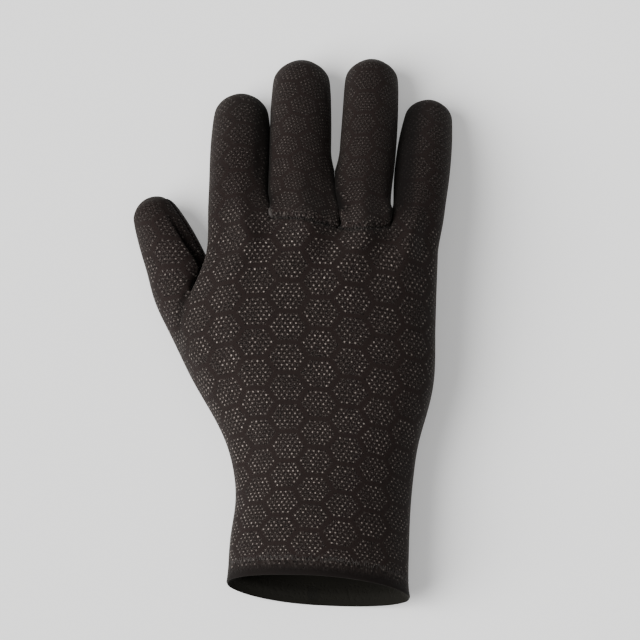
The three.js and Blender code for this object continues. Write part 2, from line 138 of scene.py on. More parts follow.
# A row of the hand goes across the back, down the little finger's side, back under the palm and up the
# thumb's side. A ring of a finger has 16 points, and the seam between back and palm passes two of them.
laneSteps = 4  # columns to a finger
backLast = 4 * laneSteps
palmFirst, palmLast = backLast + 4, 2 * backLast + 4
rowColumns = palmLast + 4
littleSeam, thumbSeam = palmFirst - 1, palmLast + 1
backMiddle, palmMiddle = 2 * laneSteps, palmFirst + 2 * laneSteps
ringPoints, ringSeams = 16, (7, 13)


def lerp(a, b, t):
    return a + (b - a) * t


def smooth(t):
    t = np.clip(t, 0, 1)
    return t * t * (3 - 2 * t)


def unit(vectors):
    return vectors / np.maximum(np.linalg.norm(vectors, axis=-1, keepdims=True), 1e-9)


def roundness(share, power):
    return np.maximum(1 - np.abs(share) ** power, 0) ** (1 / power)


laneWidths = np.array([size[1] for size in fingers.values()]) + gloveSizes["fingerGap"]
palmWidth = laneWidths.sum() - gloveSizes["fingerGap"]


# The hand: every row is two half ovals, one for the back and one for the palm, that meet at the height of
# the sides. x follows the share across, z the level from -1 at the palm to 1 at the back, y the length
# along the hand.
def handGrid():
    width, depth, backPower, palmPower = np.array(
        [[value or palmWidth for value in sections[row[0]]] for row in handRows]).T[:, :, None]
    (along, thumbBack, thumbPalm, littleSide, top, thumbHeight, littleHeight, lift, reach, slant,
     valley) = np.array([row[1:] for row in handRows], float).T[:, :, None]
    palmDepth = sections["palm"][1]
    topReach = gloveSizes["topReach"]
    column = np.arange(rowColumns)
    lane = np.select([column <= backLast, column < palmFirst, column <= palmLast],
                     [column, backLast, palmLast - column], 0)
    isBack, isFront = column <= backLast, (column >= palmFirst) & (column <= palmLast)
    steps = np.where(column < palmFirst, column - backLast - 1, rowColumns - 1 - column)
    face = np.select([isBack, isFront, steps == 0, steps == 1], [1, 2, 1, 0], 2)
    finger = np.minimum(lane // laneSteps, 3)
    within = lane / laneSteps - finger

    bounds = 2 * (np.cumsum(laneWidths)[:-1] - gloveSizes["fingerGap"] / 2) / palmWidth - 1
    forkShares = np.concatenate([[-topReach], bounds + 2 * forks[1:4, 3], [topReach]])
    even = topReach * (lane / backMiddle - 1)
    share = lerp(even, np.interp(lane / laneSteps, np.arange(5), forkShares), reach)
    sideLevel = np.select([steps == 0, steps == 1], [roundness(topReach, backPower) / 2, 0 * backPower],
                          -roundness(topReach, palmPower) / 2)
    level = np.where(isBack, roundness(share, backPower),
                     np.where(isFront, -roundness(share, palmPower), sideLevel))
    sidePower = np.where(level < 0, palmPower, backPower)
    sideShare = np.where(column < palmFirst, 1, -1) * roundness(level, sidePower)
    share = np.where(isBack | isFront, share, sideShare)

    thumbSide = lerp(thumbBack, thumbPalm, smooth(-level / gloveSizes["thumbSideTurn"]))
    x = width / 2 * lerp(-thumbSide, littleSide, (share + 1) / 2)
    side = lerp(thumbHeight, littleHeight, (share + 1) / 2) * depth
    bottom = lift * gloveSizes["palmHollow"] - gloveSizes["flattening"] * palmDepth * (1 - lift)
    z = np.where(level >= 0, lerp(side, top * depth, level), lerp(side, bottom, -level))
    dips = np.where(lane % backLast == 0, 0, np.cos(2 * np.pi * (lane % laneSteps) / laneSteps))
    z = z - np.sign(level) * valley * palmDepth * dips
    curve = np.stack([np.interp(lane / laneSteps, np.arange(5), forks[:, kind]) for kind in range(3)])
    curve = curve[face, column] - knuckleArch[face, finger] * np.sin(np.pi * within)
    cutAway = gloveSizes["rimRise"] * np.maximum(0, -x / (width / 2)) ** 2 - gloveSizes["rimSlant"] * x
    rowY = gloveSizes["hemWidth"] + along * (gloveSizes["handLength"] - gloveSizes["hemWidth"])
    rowY[0] = 0
    y = rowY + slant * cutAway + reach * gloveSizes["handLength"] * curve
    return np.stack([x, y, np.maximum(z, 0)], 2)


pointBlocks, quadBlocks, panelBlocks = [], [], []


def addPoints(block):
    block = np.array(block, float).reshape(-1, 3)
    block[:, 2] = np.maximum(block[:, 2], 0)
    first = sum(len(other) for other in pointBlocks)
    pointBlocks.append(block)
    return first + np.arange(len(block))


def pointsAt(ids):
    return np.concatenate(pointBlocks)[ids]


def addQuads(a, b, c, d, panel):
    quadBlocks.append(np.stack([a, b, c, d], -1).reshape(-1, 4))
    panelBlocks.append(np.broadcast_to(panel, a.shape).reshape(-1))


# A finger or the thumb: rings of a rounded oval round the centre line, joined to the base loop, and a
# domed tip. A ring point is centre + right * width/2 * cos + up * depth/2 * sin, pushed out to the oval's
# roundness.
def addTube(loop, frames, held, panel):
    angle = (0.75 - np.arange(ringPoints) / 8) * np.pi
    cos, sin = np.cos(angle), np.sin(angle)
    power = tipDome["power"]
    grown = (np.abs(cos) ** power + np.abs(sin) ** power) ** (-1 / power)
    centre, right, up, ahead = (frames[key][:, None, :] for key in ("centre", "right", "up", "ahead"))
    halfWidth, halfDepth = frames["width"][:, None, None] / 2, frames["depth"][:, None, None] / 2
    rings = centre + right * halfWidth * (grown * cos)[:, None] + up * halfDepth * (grown * sin)[:, None]
    base = pointsAt(loop)
    rings = lerp(rings, base - base.mean(0) + centre, np.array(held)[:, None, None])

    def dome(across, upward, share):
        sideways = right[-1] * halfWidth[-1] * (across * share)[:, None]
        upright = up[-1] * halfDepth[-1] * (upward * share)[:, None]
        onward = ahead[-1] * (tipDome["height"] * frames["width"][-1] * np.sqrt(1 - share ** 2))[:, None]
        return centre[-1] + sideways + upright + onward

    foot = dome(cos, sin, np.full(ringPoints, tipDome["foot"]))
    ringIds = addPoints(rings).reshape(-1, ringPoints)
    ids = np.concatenate([np.array(loop)[None], ringIds, addPoints(foot)[None]])
    around = np.roll(ids, -1, 1)
    k = np.arange(ringPoints)
    owner = np.where((k < ringSeams[0]) | (k >= ringSeams[1]), panel, palmPanel)
    addQuads(ids[:-1], around[:-1], around[1:], ids[1:], owner)

    # the cap is 5 by 5 points: the foot's ring as its border, and 9 points of the dome within
    b, a = np.divmod(np.arange(9), 3)
    across, upward = (a + 1) / 2 - 1, 1 - (b + 1) / 2
    distance = np.hypot(across, upward)
    share = np.select([distance == 0, across * upward == 0], [0, tipDome["inner"]], tipDome["corner"])
    scale = 1 / np.maximum(distance, 0.1)
    cap = np.zeros((5, 5), int)
    cap[0], cap[4] = ids[-1][:5], ids[-1][12:7:-1]
    cap[1:4, 4], cap[1:4, 0] = ids[-1][5:8], ids[-1][15:12:-1]
    cap[1:4, 1:4] = addPoints(dome(across * scale, upward * scale, share)).reshape(3, 3)
    rowOwner = np.where(np.arange(4)[:, None] < 3, panel, palmPanel) * np.ones((1, 4), int)
    addQuads(cap[:-1, :-1], cap[:-1, 1:], cap[1:, 1:], cap[1:, :-1], rowOwner)
    return ids, cap


def fingerFrames(k, loop):
    length, width, depth, taper, lean, bow = list(fingers.values())[k]
    profile = np.array(fingerShape["profile"]) ** taper
    run = length - tipDome["height"] * width * profile[-1]
    tipHeight = depth * profile[-1] / 2 - gloveSizes["flattening"] * depth
    lane = laneWidths[:k].sum() + width / 2 - palmWidth / 2 + fingerShape["knuckleShift"] * palmWidth
    middle = pointsAt(loop).mean(0)

    # The centre line enters its lane, leans and bows sideways, and drops to the tip's height by a power
    # of t.
    def along(t):
        entering = (1 - np.minimum(1, t)) ** fingerShape["laneEntry"]
        x = lerp(lane, middle[0], entering) + length * (lean * t + bow * 4 * t * (1 - t))
        z = lerp(middle[2], tipHeight, t ** fingerShape["curlPower"])
        return np.stack([x, middle[1] + run * t, z], -1)

    t = (np.arange(6) + 1) / 6
    ahead = unit(along(t + 0.01) - along(t - 0.01))
    up = unit(np.array([0, 0, 1.0]) - ahead * ahead[:, 2:])
    return {"centre": along(t), "ahead": ahead, "up": up, "right": np.cross(ahead, up),
            "width": width * profile, "depth": depth * profile}


def thumbFrames(loop):
    length, width, depth = thumbShape["size"]
    left, forward, height, wide, deep, turn, roll = np.array(thumbShape["rings"], float).T
    turn, roll = np.radians(turn), np.radians(roll)
    base = pointsAt(loop).mean(0)
    climb = np.diff(height, prepend=base[2] / depth) * depth / (np.diff(forward, prepend=0) * length)
    climb[:2] = 0
    ahead = unit(np.stack([-np.sin(turn), np.cos(turn), climb], -1))
    level = np.stack([np.cos(turn), np.sin(turn), 0 * turn], -1)
    upright = np.cross(level, ahead)
    cos, sin = np.cos(roll)[:, None], np.sin(roll)[:, None]
    centre = np.stack([base[0] - left * length, base[1] + forward * length, height * depth], -1)
    right = level * cos - np.cross(ahead, level) * sin
    up = upright * cos - np.cross(ahead, upright) * sin
    return {"centre": centre, "ahead": ahead, "right": right, "up": up,
            "width": wide * width, "depth": deep * depth}


# The coarse net of the whole outer face, in quads that each belong to a panel.
hand = addPoints(handGrid()).reshape(len(handRows), rowColumns)
nextColumn = np.roll(hand, -1, 1)
rowIndex, columnIndex = np.indices((len(handRows) - 1, rowColumns))
isBackColumn = (columnIndex < littleSeam) | (columnIndex >= thumbSeam)
owner = np.where(rowIndex == 0, hemPanel, np.where(isBackColumn, backPanel, palmPanel))
kept = ~((rowIndex >= firstOfThumb) & (rowIndex < lastOfThumb) & (columnIndex >= palmLast))
addQuads(hand[:-1][kept], nextColumn[:-1][kept], nextColumn[1:][kept], hand[1:][kept], owner[kept])

# The forks: three points between back and front, pushed towards the fingertips by a sine. The outer two
# are the hand's own sides.
knuckles = hand[-1]
littleFlank, thumbFlank = np.arange(backLast + 1, palmFirst), np.arange(palmLast + 1, rowColumns)
forkArcs = [knuckles[thumbFlank[::-1]]]
downTheFork = np.array([0.25, 0.5, 0.75])[:, None]
for k in (1, 2, 3):
    back, front = pointsAt(knuckles[laneSteps * k]), pointsAt(knuckles[palmLast - laneSteps * k])
    reach = gloveSizes["handLength"] * (1 + forks[k, 0]) - (back[1] + front[1]) / 2
    forkArcs.append(addPoints(lerp(back, front, downTheFork) + np.sin(np.pi * downTheFork) * [0, reach, 0]))
forkArcs.append(knuckles[littleFlank])

digits = {}
for k, name in enumerate(fingers):
    backFirst, frontFirst = laneSteps * k, palmLast - laneSteps * (k + 1)
    loop = np.concatenate([knuckles[backFirst:backFirst + laneSteps + 1], forkArcs[k + 1],
                           knuckles[frontFirst:frontFirst + laneSteps + 1], forkArcs[k][::-1]])
    digits[name] = addTube(loop, fingerFrames(k, loop), fingerShape["held"], fingerPanels[name])
rowsOfThumb = np.arange(firstOfThumb, lastOfThumb + 1)
thumbLoop = np.concatenate([hand[rowsOfThumb, 0], hand[lastOfThumb, thumbFlank[::-1]],
                            hand[rowsOfThumb[::-1], palmLast], hand[firstOfThumb, thumbFlank]])
digits["thumb"] = addTube(thumbLoop, thumbFrames(thumbLoop), thumbShape["held"], fingerPanels["thumb"])

cage = np.concatenate(pointBlocks)
quads = np.concatenate(quadBlocks)
panels = np.concatenate(panelBlocks)


def edgesOf(quads):
    ends = np.sort(np.stack([quads, np.roll(quads, -1, 1)], 2).reshape(-1, 2), 1)
    size = int(quads.max()) + 1
    keys, inverse, counts = np.unique(ends[:, 0] * size + ends[:, 1], return_inverse=True, return_counts=True)
    return keys, np.stack([keys // size, keys % size], 1), inverse.reshape(-1), counts


def gather(count, ids, values):
    total = np.zeros((count, values.shape[-1]))
    for axis in range(values.shape[-1]):
        total[:, axis] = np.bincount(ids, values[:, axis], count)
    return total


# Near the thumb's seam each point moves half way to the middle of its neighbours, a few times over.
_, edges, _, _ = edgesOf(quads)
near = np.zeros(len(cage), bool)
near[thumbLoop] = True
for hop in range(thumbShape["easeReach"]):
    near[edges[near[edges].any(1)]] = True
both = np.concatenate([edges, edges[:, ::-1]])
degree = np.maximum(np.bincount(both[:, 0], minlength=len(cage)), 1)[:, None]
for step in range(thumbShape["easePasses"]):
    middle = gather(len(cage), both[:, 0], cage[both[:, 1]]) / degree
    cage = np.where(near[:, None], lerp(cage, middle, 0.5), cage)
    cage[:, 2] = np.maximum(cage[:, 2], 0)

used = np.unique(quads)
low, high = cage[used].min(0), cage[used].max(0)
packedLow, packedHigh = np.array(cadBox) * 1000
middle, packedMiddle = (low + high) / 2, (packedLow + packedHigh) / 2
cage += [packedMiddle[0] - middle[0], packedMiddle[1] - middle[1], -low[2]]
print("net of the glove:", len(quads), "quads, off the packed size by",
      np.round(high - low - (packedHigh - packedLow), 2), "mm")


# The cloth laid flat: each panel's net gets flat coordinates, first from its arc lengths, and then every
# edge and diagonal pulls or pushes its two ends until it has its own length, so the print is hardly
# stretched.
clothLayout = {
    "passes": 500,
    "pull": 0.6,
    # each panel's print: its turn in degrees, how much closer it is across and along, and where it starts
    "print": {
        "cuff_hem": (3.2, 1, 1, -14.5, 102.2),
        "back_panel": (3.2, 1, 1, -14.5, 102.2),
        "palm_panel": (0, 1, 1, 3, 5),
        "middle_finger_back": (23, 1.24, 1.18, 3.1, 2.7),
        "ring_finger_back": (6.4, 1.3, 1.09, 0.6, 3.7),
    },
    # how unevenly the back's cloth is stretched: millimetres across and along, each for the square of the
    # place across, for the product of both places and for the square of the place along, in units of
    # bendUnit
    "bend": {"across": (0.0, -0.85, 0.5), "along": (1.99, -0.83, -1.73)},
    "bendMiddle": (0, -60),
    "bendUnit": 50,
    "bendLimits": (-1.2, 2.0),
    "capStep": 4.0,  # between the first flat places of a fingertip's points
}


def arcsFrom(points, middle):
    # Signed length along a closed ring of points, 0 at the middle one, to half the ring on either side.
    count = points.shape[1]
    turned = np.roll(points, -middle, 1)
    steps = np.linalg.norm(np.roll(turned, -1, 1) - turned, axis=2)
    forward = np.concatenate([np.zeros((len(points), 1)), np.cumsum(steps, 1)[:, :-1]], 1)
    backward = forward - steps.sum(1, keepdims=True)
    arcs = np.where(np.arange(count) <= count // 2, forward, backward)
    return np.roll(arcs, middle, 1)


def flatStart(onBack):
    flat = np.zeros((len(cage), 2))
    sign = 1 if onBack else -1
    handNow, middleColumn = cage[hand], backMiddle if onBack else palmMiddle
    arcs = sign * arcsFrom(handNow, middleColumn)
    handFlat = np.stack([arcs + handNow[:, [middleColumn], 0], handNow[:, :, 1]], 2)
    for ids, cap in digits.values():
        ring = cage[ids]
        middle = 2 if onBack else 10
        spine = ring[:, middle]
        right = ring[:, 4 if onBack else 8] - ring[:, 0 if onBack else 12]
        right = unit(right[:, :2])
        walk = np.diff(spine, axis=0)
        steps = unit(walk[:, :2]) * np.linalg.norm(walk, axis=1, keepdims=True)
        start = handFlat.reshape(-1, 2)[ids[0][middle]] if ids[0][middle] < hand.size else spine[0, :2]
        line = np.concatenate([[start], start + np.cumsum(steps, 0)])
        ringFlat = line[:, None] + sign * arcsFrom(ring, middle)[:, :, None] * right[:, None]
        flat[ids] = ringFlat
        onward = unit(steps[-1])
        b, a = np.indices((3, 3))
        depth = (b + 1) if onBack else (3 - b)
        step = clothLayout["capStep"]
        sideways, forward = (a - 1)[..., None] * right[-1], depth[..., None] * onward
        flat[cap[1:4, 1:4]] = line[-1] + step * (sideways + forward)
    flat[hand] = handFlat
    return flat


def layFlat(panel, start):
    own = quads[panels == panel]
    _, sides, _, _ = edgesOf(own)
    links = np.concatenate([sides, own[:, [0, 2]], own[:, [1, 3]]])
    a, b = links.T
    rest = np.linalg.norm(cage[a] - cage[b], axis=1)
    count = len(cage)
    shared = np.maximum(np.bincount(np.concatenate([a, b]), minlength=count), 1)[:, None]
    flat = start.copy()
    for step in range(clothLayout["passes"]):
        gap = flat[b] - flat[a]
        size = np.maximum(np.linalg.norm(gap, axis=1), 0.01)
        shift = gap * ((size - rest) / size)[:, None] * clothLayout["pull"]
        flat += gather(count, np.concatenate([a, b]), np.concatenate([shift, -shift])) / shared
    ids = np.unique(own)
    error = np.abs(np.linalg.norm(flat[b] - flat[a], axis=1) / rest - 1).mean()
    print("laid flat:", panelNames[panel], "mean stretch", round(float(error), 3))
    return flat + (start[ids] - flat[ids]).mean(0)


# The print's own axes: the flat place plus the bend, a sum of squares and products, then turned, drawn
# closer and moved.
def printPlace(flat, name):
    turn, closerAcross, closerAlong, across, along = clothLayout["print"][name]
    if name in ("cuff_hem", "back_panel"):
        place = (flat - clothLayout["bendMiddle"]) / clothLayout["bendUnit"]
        x, y = np.clip(place, *clothLayout["bendLimits"]).T
        terms = np.stack([x * x, x * y, y * y], 1)
        bend = clothLayout["bend"]
        flat = flat + np.stack([terms @ bend["across"], terms @ bend["along"]], 1)
    cos, sin = math.cos(math.radians(turn)), math.sin(math.radians(turn))
    u, v = flat.T
    turnedU, turnedV = cos * u - sin * v, sin * u + cos * v
    return np.stack([turnedU * closerAcross + across, turnedV * closerAlong + along], 1)


backStart, palmStart = flatStart(True), flatStart(False)
backFlat = layFlat(backPanel, backStart)
cloth = np.zeros((len(quads), 4, 2))
for panel, name in enumerate(panelNames):
    if panel == hemPanel:
        # the hem goes on by its own width from the back's edge; its palm half keeps its first flat place
        flat = backStart.copy()
        flat[hand[1]] = backFlat[hand[1]]
        flat[hand[0]] = backFlat[hand[1]] + backStart[hand[0]] - backStart[hand[1]]
    elif panel == backPanel:
        flat = backFlat
    else:
        flat = layFlat(panel, palmStart if panel == palmPanel else backStart)
    own = panels == panel
    cloth[own] = printPlace(flat, name)[quads[own]]

# The seams as rows of net points: one runs round the whole glove between back and palm, from the thumb's
# side of the hem to the little finger's side.
loops = []
for name in ("thumb", "index", "middle", "ring", "little"):
    ids, cap = digits[name]
    loops.append(np.concatenate([ids[:, ringSeams[1]], cap[3, 1:4], ids[::-1, ringSeams[0]]]))
perimeter = np.concatenate([
    hand[1:firstOfThumb, thumbSeam], loops[0], hand[lastOfThumb + 1:-1, thumbSeam],
    loops[1], loops[2][1:], loops[3][1:], loops[4][1:], hand[-2:0:-1, littleSeam]])
middleBase = np.concatenate([forkArcs[1][::-1], knuckles[laneSteps:2 * laneSteps + 1], forkArcs[2]])
ringBase = np.concatenate([forkArcs[2][::-1], knuckles[2 * laneSteps:3 * laneSteps + 1], forkArcs[3]])
chains = {
    "perimeter": perimeter,
    "middleBase": middleBase,
    "ringBase": ringBase,
    "hem": np.append(hand[1], hand[1, 0]),
    "rim": np.append(hand[0], hand[0, 0]),
    "thumbSeam": digits["thumb"][0][1:, ringSeams[0]],
}


# A net point's place on the smooth surface is (n² own + 4 edge neighbours + diagonal ones) / n(n + 5),
# and the net is moved until that is where the coarse point was.
def limitOf(points, quads):
    _, edges, _, counts = edgesOf(quads)
    count = len(points)
    both = np.concatenate([edges, edges[:, ::-1]])
    valence = np.maximum(np.bincount(both[:, 0], minlength=count), 1)[:, None]
    beside = gather(count, both[:, 0], points[both[:, 1]])
    across = gather(count, quads.reshape(-1), points[np.roll(quads, 2, 1)].reshape(-1, 3))
    inside = (valence ** 2 * points + 4 * beside + across) / (valence * (valence + 5))
    border = edges[counts == 1]
    both = np.concatenate([border, border[:, ::-1]])
    rimSum = gather(count, both[:, 0], points[both[:, 1]])
    onRim = np.bincount(both[:, 0], minlength=count)[:, None] > 0
    return np.where(onRim, (4 * points + rimSum) / 6, inside)


control = cage.copy()
for step in range(gloveSizes["fitPasses"]):
    control += cage - limitOf(control, quads)


# Every quad is cut in four: a face point is the mean of its corners, an edge point the mean of its ends
# and its two face points, and a net point moves to (face mean + 2 edge mean + (n - 3) own) / n.
def refine(points, quads, cloth, chains):
    keys, edges, inverse, counts = edgesOf(quads)
    count, size = len(points), int(quads.max()) + 1
    facePoints = points[quads].mean(1)
    faceSum = gather(len(edges), inverse, np.repeat(facePoints, 4, 0))
    ends = points[edges].sum(1)
    isBorder = (counts == 1)[:, None]
    edgePoints = np.where(isBorder, ends / 2, (ends + faceSum) / 4)
    valence = np.maximum(np.bincount(quads.reshape(-1), minlength=count), 1)[:, None]
    faceMean = gather(count, quads.reshape(-1), np.repeat(facePoints, 4, 0)) / valence
    both = np.concatenate([edges, edges[:, ::-1]])
    edgesHere = np.maximum(np.bincount(both[:, 0], minlength=count), 1)[:, None]
    edgeMean = gather(count, both[:, 0], np.concatenate([ends, ends]) / 2) / edgesHere
    moved = (faceMean + 2 * edgeMean + (valence - 3) * points) / valence
    border = edges[counts == 1]
    both = np.concatenate([border, border[:, ::-1]])
    rimSum = gather(count, both[:, 0], points[both[:, 1]])
    onRim = np.bincount(both[:, 0], minlength=count)[:, None] > 0
    moved = np.where(onRim, (6 * points + rimSum) / 8, moved)

    edgeIds = count + inverse.reshape(-1, 4)
    faceIds = count + len(edges) + np.arange(len(quads))[:, None] * np.ones((1, 4), int)
    small = np.stack([quads, edgeIds, faceIds, np.roll(edgeIds, 1, 1)], 2).reshape(-1, 4)
    after, before = (cloth + np.roll(cloth, -1, 1)) / 2, (cloth + np.roll(cloth, 1, 1)) / 2
    middle = np.repeat(cloth.mean(1, keepdims=True), 4, 1)
    smallCloth = np.stack([cloth, after, middle, before], 2).reshape(-1, 4, 2)
    longer = {}
    for name, chain in chains.items():
        a, b = np.minimum(chain[:-1], chain[1:]), np.maximum(chain[:-1], chain[1:])
        between = count + np.searchsorted(keys, a * size + b)
        longer[name] = np.append(np.stack([chain[:-1], between], 1).reshape(-1), chain[-1])
    return np.concatenate([moved, edgePoints, facePoints]), small, smallCloth, longer


skin = control
for level in range(gloveSizes["smoothness"]):
    skin, quads, cloth, chains = refine(skin, quads, cloth, chains)
    panels = np.repeat(panels, 4)
skin[:, 2] = np.maximum(skin[:, 2], 0)
print("smooth surface:", len(quads), "quads")

# Two fingers touch just beyond their fork. Near the middle line between them, each point moves towards the
# line by a share that fades to each side and along the fork. Shade is painted on the cloth in there.
touching = {
    "reach": 5.0,  # to each side, mm
    "length": {1: 62.0, 2: 36.0, 3: 12.0},  # for each fork from the thumb's side
    "close": {1: 1.3, 2: 3.6, 3: 1.3},
    "left": 0.06,
    "entry": 0.15,  # the shares of the length over which it begins before the fork, and ends
    "exit": 0.7,
    "sideFade": 1.6,
    "shadow": {1: 1.3, 2: 2.0, 3: 1.3},  # how wide the shade painted into the crevice is, mm
    "shadowEntry": (0.12, 0.1),
    "shadowExit": 0.3,
}
# a flank facing the next finger gets painted shade: its side of the fork, how far it turns to the side, how
# dark
flankShades = {1: (-1, 0.5, 0.8), 3: (1, 0.15, 0.85)}
flankShape = {"softness": 0.5, "entry": 12.0, "width": 32.0}  # the latter two in mm


def besideFork(fork):
    # The middle line between the fork's two fingers, from above: its x beside every point, and how far
    # the point lies to the right of it and ahead of the fork.
    before, after = (digits[name][0] for name in list(fingers)[fork - 1:fork + 1])
    middleLine = (cage[before[:, 6]] + cage[after[:, 14]]) / 2
    order = np.argsort(middleLine[:, 1])
    middleX = np.interp(skin[:, 1], middleLine[order, 1], middleLine[order, 0])
    return middleX, skin[:, 0] - middleX, skin[:, 1] - cage[forkArcs[fork][1], 1]


paintedShade = np.zeros(len(skin))
for fork in touching["length"]:
    middleX, aside, ahead = besideFork(fork)
    ahead = ahead / touching["length"][fork]
    entry = touching["entry"]
    weight = smooth((ahead + entry) / entry) * smooth((1 - ahead) / touching["exit"])
    weight = weight * smooth((touching["reach"] - np.abs(aside)) / touching["reach"] * touching["sideFade"])
    size = np.maximum(np.abs(aside) - touching["close"][fork] * weight, touching["left"])
    move = (weight > 0) & (np.abs(aside) > touching["left"])
    skin[:, 0] = np.where(move, middleX + np.sign(aside) * size, skin[:, 0])
    # painted shade: a bell curve to each side of the middle line, fading in before the fork and out along it
    start, length = touching["shadowEntry"]
    creviceShadeAlong = smooth((ahead + start) / length) * smooth((1 - ahead) / touching["shadowExit"])
    paintedShade = np.maximum(paintedShade, creviceShadeAlong * np.exp(-((skin[:, 0] - middleX) / touching["shadow"][fork]) ** 2))


def vertexNormals(points, quads):
    a, b, c, d = (points[quads[:, k]] for k in range(4))
    faceNormal = np.cross(c - a, d - b)
    return unit(gather(len(points), quads.reshape(-1), np.repeat(faceNormal, 4, 0)))


_, skinEdges, _, _ = edgesOf(quads)
skinLinks = np.concatenate([skinEdges, quads[:, [0, 2]], quads[:, [1, 3]]])
linkLengths = np.linalg.norm(skin[skinLinks[:, 0]] - skin[skinLinks[:, 1]], axis=1)
farAway = 99.0


# The distance of each point from a set of points, walked along edges and diagonals for a number of steps.
def walkFrom(sources, steps):
    distance = np.full(len(skin), farAway)
    distance[sources] = 0
    for step in range(steps):
        reached = distance[skinLinks].min(1) < farAway
        part, size = skinLinks[reached], linkLengths[reached]
        np.minimum.at(distance, part[:, 1], distance[part[:, 0]] + size)
        np.minimum.at(distance, part[:, 0], distance[part[:, 1]] + size)
    return distance


normals = vertexNormals(skin, quads)
# The flank that faces the next finger is painted dark, as shade from that finger, the more as its normal turns
# to it.
for fork, (sideOf, turned, amount) in flankShades.items():
    _, aside, ahead = besideFork(fork)
    onFlank = (sideOf * aside > 0) & (np.abs(aside) < flankShape["width"])
    facing = smooth((-sideOf * normals[:, 0] - turned) / flankShape["softness"] + 0.5)
    facing = facing * smooth(ahead / flankShape["entry"] + 0.5)
    paintedShade = np.maximum(paintedShade, amount * facing * onFlank)
baseSeam = np.concatenate([chains["middleBase"], chains["ringBase"]])
fromPerimeter = walkFrom(chains["perimeter"], 8)
fromBase = walkFrom(baseSeam, 14)
fromHem = walkFrom(chains["hem"], 10)
fromRim = walkFrom(chains["rim"], 14)
fromThumbSeam = walkFrom(chains["thumbSeam"], 12)
print("seam distances walked")

# Where two panels meet, each edge rolls in to the seam like a quarter round. The backs of the middle and
# ring finger bulge over their base's seam and pucker along it.
seamShape = {
    "sideDepth": 0.9, "sideWidth": 1.7,
    "baseDepth": 1.6, "baseWidth": 2.1,
    "baseBulge": 0.9, "bulgeReach": 3.2,
    "puckerDepth": 0.3, "puckerLength": 4.6, "puckerReach": 3.5, "gatherReach": 3.0,
    "puckerSway": (1.4, 5.3), "puckerSecond": (0.6, 0.61, 2.0),  # how the waves differ from plain sines
    "handShare": 0.6, "handGather": 0.45,  # how much of the puckers and the gathers the hand's side has
    "nearBase": 14.0,
    "hemDepth": 0.25, "hemWidth": 1.0,
    "rimRound": 0.45, "rimWidth": 0.585,
    "rimWall": 0.22, "rimTaper": 6.0,  # the wall's share at the rim, and how far in it is whole
}
# Beside the thumb's seam the back sinks in: how deep, how far from the seam, over what width, and how dark
# the shade painted into it is. It starts at some distance from the thumb's tip and comes in over another.
thumbHollow = {"depth": 2.6, "place": 7.0, "width": 5.0, "shadeAmount": 0.85, "start": 6.0, "entry": 26.0}


def rollIn(distance, depth, width):
    inward = np.clip(1 - distance / width, 0, 1)
    return depth * (1 - np.sqrt(1 - inward ** 2))


ownPanel = np.zeros(len(skin), int)
np.maximum.at(ownPanel, quads.reshape(-1), np.repeat(panels, 4))
onFingerBack, onBack = ownPanel >= firstFingerBack, ownPanel == backPanel


# The puckers: two sine waves along the seam, the first with a sway, that fade with the distance from it.
def basePuckers():
    closeBy = np.flatnonzero(fromBase < seamShape["nearBase"])
    seam = skin[baseSeam]
    seamLength = np.concatenate([[0], np.cumsum(np.linalg.norm(np.diff(seam, axis=0), axis=1))])
    along = seamLength[np.linalg.norm(skin[closeBy][:, None] - seam[None], axis=2).argmin(1)]
    (sway, swayLength), (second, shorter, shift) = seamShape["puckerSway"], seamShape["puckerSecond"]
    waves = np.sin(2 * np.pi * along / seamShape["puckerLength"] + sway * np.sin(along / swayLength))
    waves += second * np.sin(2 * np.pi * along / (seamShape["puckerLength"] * shorter) + shift)
    fade = np.exp(-fromBase[closeBy] / seamShape["puckerReach"])
    pucker = np.zeros(len(skin))
    share = np.where(onFingerBack[closeBy], 1, seamShape["handShare"])
    pucker[closeBy] = seamShape["puckerDepth"] * waves * fade * share
    return pucker


farther = fromBase / seamShape["bulgeReach"]
bulge = np.where(onFingerBack, seamShape["baseBulge"] * farther * np.exp(1 - np.minimum(farther, 30)), 0)
gathered = np.exp(-(fromBase / seamShape["gatherReach"]) ** 2)
gathered *= np.where(onFingerBack, 1, seamShape["handGather"])

rise = bulge + basePuckers()
rise -= rollIn(fromPerimeter, seamShape["sideDepth"], seamShape["sideWidth"])
rise -= rollIn(fromBase, seamShape["baseDepth"], seamShape["baseWidth"])
rise -= rollIn(fromHem, seamShape["hemDepth"], seamShape["hemWidth"])
rise -= rollIn(fromRim, seamShape["rimRound"], seamShape["rimWidth"])
hollow = np.exp(-((fromThumbSeam - thumbHollow["place"]) / thumbHollow["width"]) ** 2) * onBack
thumbTip = cage[digits["thumb"][1][2, 2], 1]
hollow = hollow * smooth((thumbTip - skin[:, 1] - thumbHollow["start"]) / thumbHollow["entry"])
rise -= thumbHollow["depth"] * hollow
# the hollow's shade is painted into the cloth
paintedShade = np.maximum(paintedShade, thumbHollow["shadeAmount"] * hollow)

# The crease beside the thumb: a soft groove on the back along a line seen from above, deepest where the
# thumb parts from the hand. Shade is painted into the groove too.
crease = {
    "line": [(-49.5, 10.5), (-51.5, 6.5), (-52.8, -2.0), (-53.2, -9.0), (-52.8, -17.0)],
    "depth": 1.1, "width": 1.7, "shadeAmount": 0.45, "above": 16.0,
}


def creaseGroove():
    line = np.array(crease["line"])
    start, run = line[:-1], np.diff(line, axis=0)
    aside = skin[:, None, :2] - start
    share = np.clip((aside * run).sum(2) / (run ** 2).sum(1), 0, 1)
    gap = np.linalg.norm(aside - share[..., None] * run, axis=2)
    nearest = gap.argmin(1)
    along = (nearest + share[np.arange(len(skin)), nearest]) / len(run)
    onTop = onBack & (skin[:, 2] > crease["above"]) & (normals[:, 2] > 0)
    return np.exp(-(gap.min(1) / crease["width"]) ** 2) * (1 - along ** 2) * onTop


groove = creaseGroove()
rise -= crease["depth"] * groove
# painted shade in the groove
paintedShade = np.maximum(paintedShade, crease["shadeAmount"] * groove)

